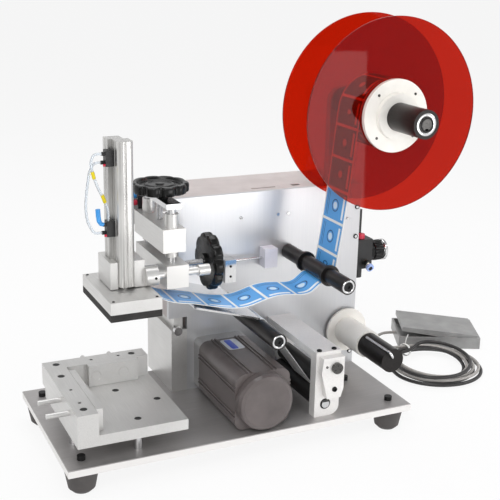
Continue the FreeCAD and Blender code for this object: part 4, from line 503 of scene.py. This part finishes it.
def strip_run(tree, axes):
    """The strip's run is the height above the guide roller and minus x below it; what lies under a
    sloping line is the bare liner on its way back."""
    rise = add(tree, "Math", {"operation": "GREATER_THAN", 1: 0.292}, {0: axes.outputs["Z"]})
    total = add(tree, "Math", {"operation": "ADD"}, {0: axes.outputs["Z"], 1: axes.outputs["X"]})
    lifted = add(tree, "Math", {"operation": "MULTIPLY"}, {0: rise.outputs[0], 1: total.outputs[0]})
    run = add(tree, "Math", {"operation": "SUBTRACT"}, {0: lifted.outputs[0], 1: axes.outputs["X"]})
    turns = add(tree, "Math", {"operation": "DIVIDE", 1: pitch}, {0: run.outputs[0]})
    cell = add(tree, "Math", {"operation": "FRACT"}, {0: turns.outputs[0]})
    slope = add(tree, "Math", {"operation": "MULTIPLY_ADD", 1: 0.29, 2: 0.29 * 0.125 - 0.2600},
                {0: axes.outputs["X"]})
    side = add(tree, "Math", {"operation": "ADD"}, {0: slope.outputs[0], 1: axes.outputs["Z"]})
    shown = add(tree, "Math", {"operation": "GREATER_THAN", 1: 0.0}, {0: side.outputs[0]})
    return cell.outputs[0], shown.outputs[0]


roll_low, roll_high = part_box("label_roll")
roll_centre = (roll_low + roll_high) / 2
roll_outer = (roll_high.x - roll_low.x) / 2


def roll_run(tree, axes):
    """The roll's run is its angle about the reel's axle; only its outermost turn shows print."""
    out = add(tree, "Math", {"operation": "SUBTRACT", 1: roll_centre.x}, {0: axes.outputs["X"]}).outputs[0]
    rise = add(tree, "Math", {"operation": "SUBTRACT", 1: roll_centre.z}, {0: axes.outputs["Z"]}).outputs[0]
    angle = add(tree, "Math", {"operation": "ARCTAN2"}, {0: rise, 1: out})
    count = round(2 * math.pi * roll_outer / pitch)
    turns = add(tree, "Math", {"operation": "MULTIPLY", 1: count / (2 * math.pi)}, {0: angle.outputs[0]})
    cell = add(tree, "Math", {"operation": "FRACT"}, {0: turns.outputs[0]})
    flat = add(tree, "CombineXYZ", None, {"X": out, "Y": rise})
    reach = add(tree, "VectorMath", {"operation": "LENGTH"}, {0: flat.outputs["Vector"]})
    shown = add(tree, "Math", {"operation": "GREATER_THAN", 1: roll_outer - 0.0006},
                {0: reach.outputs["Value"]})
    return cell.outputs[0], shown.outputs[0]


dress(labels("printed_label_strip", strip_run), "label_web")
dress(labels("printed_label_roll", roll_run), "label_roll")

# Nip, motor and drive. A driven rubber roller and a sprung one pull the liner; a dark grey painted gear
# motor turns them by toothless belts behind the front plate.
dress(moulded("ground_black_rubber", "#171616", "#262525", 0.50, 0.0007, 0.0001),
      "traction_rubber", "pinch_roller", "drive_belts")
motor_finish = moulded("dark_grey_casting_paint", "#554e4d", "#645c5b", 0.34, 0.0014, 0.00012, coat=0.15)
dress(motor_finish, "motor")
dress(brushed("machined_gear_casting", "#a5a4a3", "#bdbcbb", 0.38, (0.0009, 0.010, 0.0009), 0.8),
      "gearhead", "motor_pulley")

# Handwheels and small plastics. Phenolic wheels with deep lobes; nylon and phenolic fittings.
phenolic = moulded("black_phenolic", "#080808", "#121211", 0.25, 0.0010, 0.00004, ior=1.36)
dress(phenolic, "height_wheel", "cross_wheel", "regulator_knob")
dress(moulded("black_nylon", "#151516", "#222223", 0.42, 0.0008, 0.0001),
      "air_regulator", "air_valve", "flow_controls", "cable_glands")

# Press head. A compact cylinder of drawn, satin aluminium lowers the press plate with its foam pad.
dress(brushed("drawn_satin_alloy", "#9c9b99", "#e6e5e2", 0.27, (0.0028, 0.0028, 0.200), 0.80),
      "air_cylinder")
dress(moulded("closed_cell_foam", "#232221", "#343231", 0.85, 0.0012, 0.0006), "foam_pad")
tube_material, tree, output, place = begin("clear_polyurethane")
haze = add(tree, "TexNoise", {"Scale": 1 / 0.006, "Detail": 2.0}, {"Vector": place})
dull = add(tree, "MapRange", {"To Min": 0.08, "To Max": 0.22}, {"Value": haze.outputs["Fac"]})
clear = add(tree, "BsdfPrincipled",
            {"Base Color": linear("#e8eef4"), "IOR": 1.50, "Transmission Weight": 0.7},
            {"Roughness": dull.outputs["Result"]})
tree.links.new(clear.outputs["BSDF"], output.inputs["Surface"])
dress(tube_material, "air_tubes")
dress(moulded("pale_sensor_plastic", "#d9d8e2", "#e8e7ef", 0.35, 0.0008, 0.00004), "sensor_block")

# Foot switch. Cast tray and treadle in grey hammered enamel.
dress(moulded("grey_hammered_enamel", "#858584", "#9a9a99", 0.38, 0.0035, 0.0003, coat=0.2),
      "foot_switch", "foot_pedal")

# Handwheels. Ten-lobed phenolic wheels with a dished face and a raised ring round the boss, moulded on
# steel screws of 10 mm with a 2 mm trapezoidal thread that move the carriage and the head.
def circle_about(axis, sides):
    """A unit axis, the angles of a circle's points, and those points: a cosine of one direction square to
    the axis and a sine of the other."""
    ahead = np.array(axis, float)
    over = np.array((0, 0, 1.0)) if abs(ahead[2]) < 0.5 else np.array((1.0, 0, 0))
    aside = np.cross(over, ahead)
    angle = np.linspace(0, 2 * np.pi, sides, endpoint=False)
    return ahead, angle, np.cos(angle)[:, None] * over + np.sin(angle)[:, None] * aside


def lathe(profile, axis, places=(0, 0, 0), flats=(), notch=(), sides=48):
    """Each row of the profile, a radius and a rise in millimetres, is a circle about an axis through every
    place. Rows in flats are hexagons: the radius over the cosine of the angle from the nearest flat. A
    row's notch is cut ten times: its depth falls off with the square of the angle from the cut."""
    radius, rise = np.array(profile, float).T / 1000
    ahead, angle, circle = circle_about(axis, sides)
    spread = np.repeat(radius[:, None], sides, axis=1)
    spread[list(flats)] /= np.cos((angle + np.pi / 6) % (np.pi / 3) - np.pi / 6)
    if len(notch):
        aside = (angle + np.pi / 10) % (np.pi / 5) - np.pi / 10
        half_wide = 0.115
        spread -= np.array(notch)[:, None] / 1000 * np.exp(-(aside / half_wide) ** 2)
    rows = spread[..., None] * circle + rise[:, None, None] * ahead
    return rows + np.atleast_2d(np.array(places, float))[:, None, None]


wheel_profile = [
    (0, 0), (13, 0), (13, 4.2), (30, 4.5), (42, 4.8), (45, 6.2), (46, 8.5), (46, 16.5), (45.2, 18.9),
    (43, 20.3), (38.5, 20.5), (36.2, 19.8), (34.6, 16.6), (33.0, 15.6), (24.5, 15.5), (22.8, 17.4),
    (21.4, 18.0), (19.4, 18.0), (18.2, 17.1), (16.8, 16.7), (7.5, 17.0), (6.0, 18.5), (0, 18.8),
]
wheel_notch = [0, 0, 0, 0, 3.4, 4.3, 4.6, 4.6, 4.4, 3.2, 0.8] + [0] * 12


def threaded_screw(start, axis, length):
    """A screw 10 mm thick: its radius is a trapezoidal wave of the height less the angle's share of a
    2 mm pitch."""
    lead, crest, deep, step = 0.002, 0.0049, 0.0009, 0.00025
    ahead, angle, circle = circle_about(axis, 24)
    high = np.arange(0, length, step)
    phase = high[:, None] / lead - angle / (2 * np.pi)
    radius = crest - deep * np.clip(1.6 * np.abs((phase % 1) - 0.5) * 2 - 0.3, 0, 1)
    radius[0] = radius[-1] = 0
    return radius[..., None] * circle + high[:, None, None] * ahead + np.array(start, float)


rise_low, rise_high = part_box("height_wheel")
rise_x, rise_y = (rise_low.x + rise_high.x) / 2, (rise_low.y + rise_high.y) / 2
wheel_thick, screw_end = 0.0205, 0.020
height_rim = surface(
    "height_wheel_rim",
    lathe(wheel_profile, (0, 0, 1), (rise_x, rise_y, rise_high.z - wheel_thick), notch=wheel_notch,
          sides=240),
    True, "height_handwheel", 28,
)
height_screw = surface(
    "height_screw",
    threaded_screw((rise_x, rise_y, rise_low.z), (0, 0, 1), rise_high.z - screw_end - rise_low.z),
    True, "height_handwheel",
)
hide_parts("height_wheel")
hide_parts("height_wheel")
cross_low, cross_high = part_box("cross_wheel")
cross_y, cross_z = (cross_low.y + cross_high.y) / 2, (cross_low.z + cross_high.z) / 2
cross_rim = surface(
    "cross_wheel_rim",
    lathe(wheel_profile, (1, 0, 0), (cross_high.x - wheel_thick, cross_y, cross_z), notch=wheel_notch,
          sides=240),
    True, "cross_handwheel", 28,
)
cross_screw = surface(
    "cross_screw",
    threaded_screw((cross_low.x, cross_y, cross_z), (1, 0, 0), cross_high.x - screw_end - cross_low.x),
    True, "cross_handwheel",
)
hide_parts("cross_wheel")
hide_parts("cross_wheel")
for piece in (height_rim, cross_rim):
    dress(phenolic, piece)
for piece in (height_screw, cross_screw):
    dress(steel_finish, piece)

# Screws and caps of the nip. M5 socket screws in the bracket, a knurled cap on the arms' pivot with
# three dark discs of painted shade for its spanner holes, and the black bearing ring round the driven shaft's
# end.
m5_head = [(0, 0), (4.3, 0), (4.3, 2.0), (3.9, 2.5), (2.5, 2.5), (2.3, 0.7), (0, 0.6)]
m3_head = [(0, 0), (2.1, 0), (2.1, 0.7), (1.8, 1.0), (1.0, 1.0), (0.9, 0.2), (0, 0.2)]
nip_low, nip_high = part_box("nip_bracket")
roller_low, roller_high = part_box("pinch_roller")
arms_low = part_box("pinch_arms")[0]
shaft_low, shaft_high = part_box("traction_shaft")
edge_x, screw_y = 0.24575, 0.0605
socket = (4, 5)
bracket_screws = surface("bracket_screws", np.concatenate((
    lathe(m5_head, (0, 0, 1), [(nip_low.x + 0.0085, nip_low.y + 0.0065, nip_high.z - 0.0003),
                               (nip_high.x - 0.0100, nip_low.y + 0.0065, nip_high.z - 0.0003)], socket),
    lathe(m5_head, (1, 0, 0), [(nip_high.x - 0.0003, nip_low.y + 0.0125, 0.1160)], socket),
    lathe(m5_head, (0, -1, 0), [(edge_x, screw_y, z) for z in (0.0723, 0.2960, 0.3510)], socket),
)), True, crease=30)
roller_x, roller_z = (roller_low.x + roller_high.x) / 2, (roller_low.z + roller_high.z) / 2
arm_screw = surface("arm_screw", lathe(
    m5_head, (0, -1, 0), (roller_x, arms_low.y + 0.0003, roller_z), socket), True, "nip_arms", 30)
arm_set_screw = surface("arm_set_screw", lathe(
    m3_head, (0, -1, 0), (0.0862, arms_low.y + 0.0003, 0.1430), socket), True, "nip_arms", 30)
shaft_ring = surface("shaft_bearing_ring", lathe(
    [(7.2, 0), (9.4, 0), (9.4, 0.7), (9.0, 1.1), (7.6, 1.1), (7.2, 0.7), (7.2, 0)], (0, -1, 0),
    ((shaft_low.x + shaft_high.x) / 2, nip_low.y + 0.0002, (shaft_low.z + shaft_high.z) / 2)), True, crease=30)
pivot_x, pivot_z, pin_circle = 0.10375, 0.140, 0.0048
knurl_angle = np.linspace(0, 2 * np.pi, 160, endpoint=False)
cap_rows = lathe([(0, 0), (9.2, 0), (9.2, 0.3), (9.2, 4.2), (8.6, 4.9), (0, 4.9)], (0, -1, 0),
                 (pivot_x, arms_low.y - 0.0003, pivot_z), sides=160)[0]
cap_middle = cap_rows.mean(axis=1, keepdims=True)
cap_rows[2:4] += (cap_rows[2:4] - cap_middle[2:4]) * 0.035 * np.cos(knurl_angle * 40)[:, None]
pivot_cap = surface("pivot_cap", cap_rows, True, "nip_arms", 30)
pin_turn = np.radians((90, 210, 330))
pin_places = np.stack((pivot_x + pin_circle * np.cos(pin_turn), np.full(3, arms_low.y - 0.0051),
                       pivot_z + pin_circle * np.sin(pin_turn)), -1)
# The spanner holes are flat dark discs on the cap's face: painted shade, not holes.
pivot_hole_shade = surface("pivot_cap_hole_shade", lathe(
    [(0, 0), (1.1, 0), (1.1, 0.25), (0, 0.2)], (0, -1, 0), pin_places, sides=20), True, "nip_arms")
dress(oxide_finish, bracket_screws, arm_screw, arm_set_screw, shaft_ring, pivot_hole_shade)
dress(satin_finish, pivot_cap)

# Roller and reel ends. The inner rings of the ball bearings show as bright rings in the black rollers and
# in the reel tube; the axles end in black screws.
guide_low, guide_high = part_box("guide_roller")
under_low, under_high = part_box("lower_roller")
tube_low, tube_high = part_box("reel_tube")
reel_x, reel_z = (tube_low.x + tube_high.x) / 2, (tube_low.z + tube_high.z) / 2
bearing_face = [(8.1, 0), (11.0, 0), (11.0, 0.5), (10.6, 0.9), (8.6, 0.9), (8.1, 0.5), (8.1, 0)]
ends = []
for name, low, high, body in (("guide_bearing", guide_low, guide_high, "guide_roll"),
                              ("lower_bearing", under_low, under_high, "lower_roll")):
    x, z = (low.x + high.x) / 2, (low.z + high.z) / 2
    bearing = surface(name, lathe(bearing_face, (0, -1, 0), (x, low.y + 0.0002, z)), True, body, 30)
    dress(chrome_finish, bearing)
    ends.append((x, low.y + 0.0032, z))
axle_screws = surface("axle_screws", lathe(
    [(0, 0), (7.3, 0), (7.3, 2.4), (6.7, 3.0), (3.2, 3.0), (3.0, 0.9), (0, 0.8)], (0, -1, 0), ends, socket),
    True, crease=30)
reel_bearing = surface("reel_bearing", lathe(
    [(12.6, 0), (17.4, 0), (17.4, 0.6), (16.6, 1.0), (13.6, 1.0), (12.6, 0.6), (12.6, 0)], (0, -1, 0),
    (reel_x, tube_low.y + 0.0002, reel_z)), True, "reel", 30)
axle_cap = surface("axle_circlip", lathe(
    [(9.0, 0), (11.6, 0), (11.6, 0.9), (11.0, 1.2), (9.4, 1.2), (9.0, 0.8), (9.0, 0)], (0, -1, 0),
    (reel_x, tube_low.y - 0.0018, reel_z)), True, crease=30)
hub_turn, hub_circle, hub_face_y = np.radians((45, 135, 225, 315)), 0.0480, -0.0988
hub_places = np.stack((reel_x + hub_circle * np.cos(hub_turn), np.full(4, hub_face_y),
                       reel_z + hub_circle * np.sin(hub_turn)), -1)
hub_screws = surface("hub_screws", lathe(m3_head, (0, -1, 0), hub_places, socket), True, "front_flange", 30)
dress(chrome_finish, reel_bearing)
dress(oxide_finish, axle_screws, axle_cap, hub_screws)

# Motor plate. A thin anodised foil plate on the motor's upper side, bare but for one blue band, held by
# its glue; its corners are rounded.
motor_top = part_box("motor")[1].z


def foil(name, x, y, z, half_x, half_y, thick):
    """A flat plate whose outline is a superellipse of the eighth order, with its edge rounded over."""
    angle = np.linspace(0, 2 * np.pi, 96, endpoint=False)
    reach = ((np.abs(np.cos(angle)) / half_x) ** 8 + (np.abs(np.sin(angle)) / half_y) ** 8) ** (-1 / 8)
    scale = np.array((0, 1, 1, 0.985, 0))
    rise = np.array((0, 0, 0.6, 1, 1)) * thick
    flat = np.stack((np.cos(angle) * reach, np.sin(angle) * reach), -1)
    rows = np.concatenate(
        (scale[:, None, None] * flat, np.broadcast_to(rise[:, None, None], (len(rise), len(angle), 1))), -1
    )
    return surface(name, rows + np.array((x, y, z)), True)


type_plate = foil("motor_plate", -0.0215, 0.0020, motor_top - 0.0022, 0.0150, 0.0225, 0.0006)
type_band = foil("motor_plate_band", -0.0240, 0.0020, motor_top - 0.00165, 0.0062, 0.0205, 0.00012)
dress(moulded("pale_anodised_foil", "#c6cbd2", "#d9dde2", 0.36, 0.0012, 0.00003, metallic=0.3), type_plate)
dress(moulded("blue_foil_print", "#3f58c0", "#4a63cc", 0.40, 0.0015, 0.00003), type_band)

# Air fittings. Push-in collars in blue and red nylon, yellow marking sleeves on the short tube, the two
# red throttle needles, the screws of the press plate, and a black disc of painted shade in the inlet's mouth.
def sleeve_between(first, last, radius, sides=24):
    """A short round sleeve with rounded ends on the straight line from the first place to the last."""
    share = np.array((0, 0, 0.08, 0.92, 1, 1))
    places = np.array(first) + share[:, None] * (np.array(last) - np.array(first))
    run = np.array(last) - np.array(first)
    run = run / np.linalg.norm(run)
    aside = np.cross(run, (0.13, 0.91, 0.24))
    aside /= np.linalg.norm(aside)
    over = np.cross(aside, run)
    angle = np.linspace(0, 2 * np.pi, sides, endpoint=False)[None, :, None]
    circle = np.cos(angle) * aside + np.sin(angle) * over
    return places[:, None] + circle * (np.array((0, 0.88, 1, 1, 0.88, 0)) * radius)[:, None, None]


tube_y = -0.0595
yellow_sleeves = surface("yellow_sleeves", (
    sleeve_between((-0.27660, tube_y, 0.4785), (-0.27400, tube_y, 0.4680), 0.0027),
    sleeve_between((-0.26270, tube_y, 0.4430), (-0.25830, tube_y, 0.4310), 0.0027)), True, "head")
collar_line = np.array(((-0.2610, tube_y, 0.3980), (-0.2612, tube_y, 0.3980), (-0.2655, tube_y, 0.3995),
                        (-0.2682, tube_y, 0.4040), (-0.2692, tube_y, 0.4110), (-0.2698, tube_y, 0.4220),
                        (-0.2698, tube_y, 0.4222)))
blue_collar = surface(
    "blue_collar", sleeve(collar_line, (0, 0.0030, 0.0033, 0.0036, 0.0036, 0.0036, 0)), True, "head")
needles = surface("throttle_needles", (
    sleeve_between((-0.2568, -0.0606, 0.4872), (-0.2606, -0.0606, 0.4872), 0.0019),
    sleeve_between((-0.2568, -0.0606, 0.3812), (-0.2606, -0.0606, 0.3812), 0.0019)), True, "head")
inlet_x = 0.2790
valve_blue, valve_red, hose_collar, inlet_body, inlet_collar, inlet_bore_shade = [
    surface(name, sleeve_between(first, last, radius), True) for name, first, last, radius in (
        ("valve_blue_collar", (-0.1630, 0.0830, 0.4020), (-0.1770, 0.0830, 0.4035), 0.0058),
        ("valve_red_collar", (-0.1630, 0.0790, 0.3905), (-0.1730, 0.0790, 0.3905), 0.0048),
        ("hose_collar", (0.27275, 0.0848, 0.2820), (0.27275, 0.0848, 0.2915), 0.0075),
        ("inlet_body", (inlet_x, 0.0760, 0.2400), (inlet_x, 0.0600, 0.2340), 0.0062),
        ("inlet_collar", (inlet_x, 0.0600, 0.2340), (inlet_x, 0.0545, 0.2320), 0.0074),
        # The inlet's bore is a thin black disc: painted shade in the mouth of the fitting.
        ("inlet_bore_shade", (inlet_x, 0.0547, 0.2320), (inlet_x, 0.0541, 0.2318), 0.0040),
    )
]
press_low, press_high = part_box("press_plate")
press_screws = surface("press_screws", lathe(m3_head, (0, 0, 1), [
    (x, y, 0.2979) for x in (press_low.x + 0.006, press_high.x - 0.006)
    for y in (press_low.y + 0.006, press_high.y - 0.006)], socket), True, "press", 30)
collar_screw = surface(
    "collar_screw", lathe(m3_head, (0, -1, 0), (-0.1890, -0.0848, 0.3135), socket), True, "head", 30)
sensor_screws = surface("sensor_screws", lathe(
    m3_head, (0, -1, 0), [(-0.0113, 0.0372, z) for z in (0.2750, 0.2570)], socket), True, crease=30)
yellow = moulded("yellow_pvc_sleeve", "#d9c400", "#ecd91a", 0.42, 0.0010, 0.00004)
blue_nylon = moulded("blue_nylon_collar", "#2f8fdc", "#4aa4ea", 0.36, 0.0010, 0.00004)
pale_blue = moulded("pale_blue_nylon_collar", "#9fb9f2", "#b7caf6", 0.36, 0.0010, 0.00004)
red_nylon = moulded("red_nylon_collar", "#c21f3a", "#da3450", 0.36, 0.0010, 0.00004)
nickel = brushed("nickel_plated_brass", "#a8a49a", "#d2cfc6", 0.20, (0.0008, 0.006, 0.0008), 1.0)
dress(yellow, yellow_sleeves)
dress(blue_nylon, blue_collar, valve_blue)
dress(pale_blue, inlet_collar)
dress(red_nylon, valve_red, hose_collar, needles)
dress(nickel, inlet_body)
dress(oxide_finish, press_screws, collar_screw, sensor_screws, inlet_bore_shade)

# Pressure knob. A black fluted cap with a bright bezel at its outer end.
knob_low, knob_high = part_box("regulator_knob")
knob_y, knob_z = (knob_low.y + knob_high.y) / 2, (knob_low.z + knob_high.z) / 2
flute_angle = np.linspace(0, 2 * np.pi, 240, endpoint=False)
knob_start = (knob_low.x, knob_y, knob_z)
cap_rows = lathe([(0, 0), (16.4, 0), (16.8, 0.4), (16.8, 7.4), (18.4, 8.6), (19.0, 10), (19.0, 25.4),
                  (18.2, 26.4), (0, 26.4)], (1, 0, 0), knob_start, sides=240)[0]
cap_middle = cap_rows.mean(axis=1, keepdims=True)
cap_rows[5:7] += (cap_rows[5:7] - cap_middle[5:7]) * 0.018 * np.cos(flute_angle * 24)[:, None]
knob_cap = surface("knob_cap", cap_rows, True, "pressure_knob", 30)
bezel = surface("knob_bezel", lathe(
    [(0, 25.6), (17.2, 25.6), (17.2, 27.6), (19.4, 28.2), (19.9, 29.0), (19.9, 33.2), (19.2, 34.2),
     (17.4, 34.2), (16.8, 33.4), (16.8, 31.4), (0, 31.2)], (1, 0, 0), knob_start, sides=96),
    True, "pressure_knob", 30)
dress(phenolic, knob_cap)
dress(chrome_finish, bezel)
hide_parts("regulator_knob")
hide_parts("regulator_knob")

# Studio. The floor and the world are white to the eye and through clear pieces. To gloss the floor is a
# near white and the world a sky that pales towards the horizon, and matt surfaces get a softer light of
# it. Three wide square lamps and a small low one in front shape the metal.
reach = 40
floor_mesh = bpy.data.meshes.new("floor")
floor_mesh.from_pydata([(-reach, -reach, 0), (reach, -reach, 0), (reach, reach, 0), (-reach, reach, 0)], [],
                       [(0, 1, 2, 3)])
floor = bpy.data.objects.new("floor", floor_mesh)
bpy.context.collection.objects.link(floor)
floor_material, tree, output, place = begin("white_studio_floor")
path = add(tree, "LightPath")
matt = add(tree, "BsdfDiffuse", {"Color": linear("#f4f4f4")})
bright = add(tree, "Emission", {"Color": (1, 1, 1, 1), "Strength": 1.0})
clear = add(tree, "Math", {"operation": "MAXIMUM"},
            {0: path.outputs["Is Camera Ray"], 1: path.outputs["Is Transmission Ray"]})
seen = add(tree, "Math", {"operation": "MAXIMUM"}, {0: clear.outputs[0], 1: path.outputs["Is Glossy Ray"]})
share = add(tree, "Math", {"operation": "MULTIPLY", 1: 0.88}, {0: seen.outputs[0]})
blend = add(tree, "MixShader", None,
            {0: share.outputs[0], 1: matt.outputs["BSDF"], 2: bright.outputs["Emission"]})
tree.links.new(blend.outputs["Shader"], output.inputs["Surface"])
floor_mesh.materials.append(floor_material)

world = bpy.data.worlds.new("studio")
world.use_nodes = True
bpy.context.scene.world = world
tree = world.node_tree
tree.nodes.clear()
path = add(tree, "LightPath")
direct = add(tree, "Math", {"operation": "MAXIMUM"},
             {0: path.outputs["Is Camera Ray"], 1: path.outputs["Is Transmission Ray"]})
heading = add(tree, "TexCoord").outputs["Generated"]
height = add(tree, "SeparateXYZ", None, {"Vector": heading}).outputs["Z"]
sky = add(tree, "ValToRGB", None, {"Fac": height})
sky.color_ramp.elements[0].color = (0.95, 0.95, 0.95, 1)
sky.color_ramp.elements[1].color = (0.42, 0.42, 0.43, 1)
sky.color_ramp.elements[1].position = 0.75
strength = add(tree, "MapRange", {"To Min": 0.62, "To Max": 1.0}, {"Value": path.outputs["Is Glossy Ray"]})
light = add(tree, "Background", None, {"Color": sky.outputs["Color"], "Strength": strength.outputs["Result"]})
white = add(tree, "Background", {"Color": (1, 1, 1, 1), "Strength": 1.0})
chosen = add(tree, "MixShader", None,
             {0: direct.outputs[0], 1: light.outputs["Background"], 2: white.outputs["Background"]})
tree.links.new(chosen.outputs["Shader"], add(tree, "OutputWorld").inputs["Surface"])

middle = (cad_low + cad_high) / 2
for name, spot, width, power in (
    ("key_lamp", (-1.6, -1.9, 2.2), 1.6, 44), ("side_lamp", (2.2, -0.9, 1.5), 1.4, 20),
    ("front_lamp", (0.55, -1.35, 0.16), 0.7, 6), ("top_lamp", (0.1, 0.6, 2.4), 1.8, 26),
):
    lamp = bpy.data.lights.new(name, "AREA")
    lamp.shape = "SQUARE"
    lamp.size = width
    lamp.energy = power
    stand = bpy.data.objects.new(name, lamp)
    stand.location = spot
    stand.rotation_euler = (middle - Vector(spot)).to_track_quat("-Z", "Y").to_euler()
    bpy.context.collection.objects.link(stand)
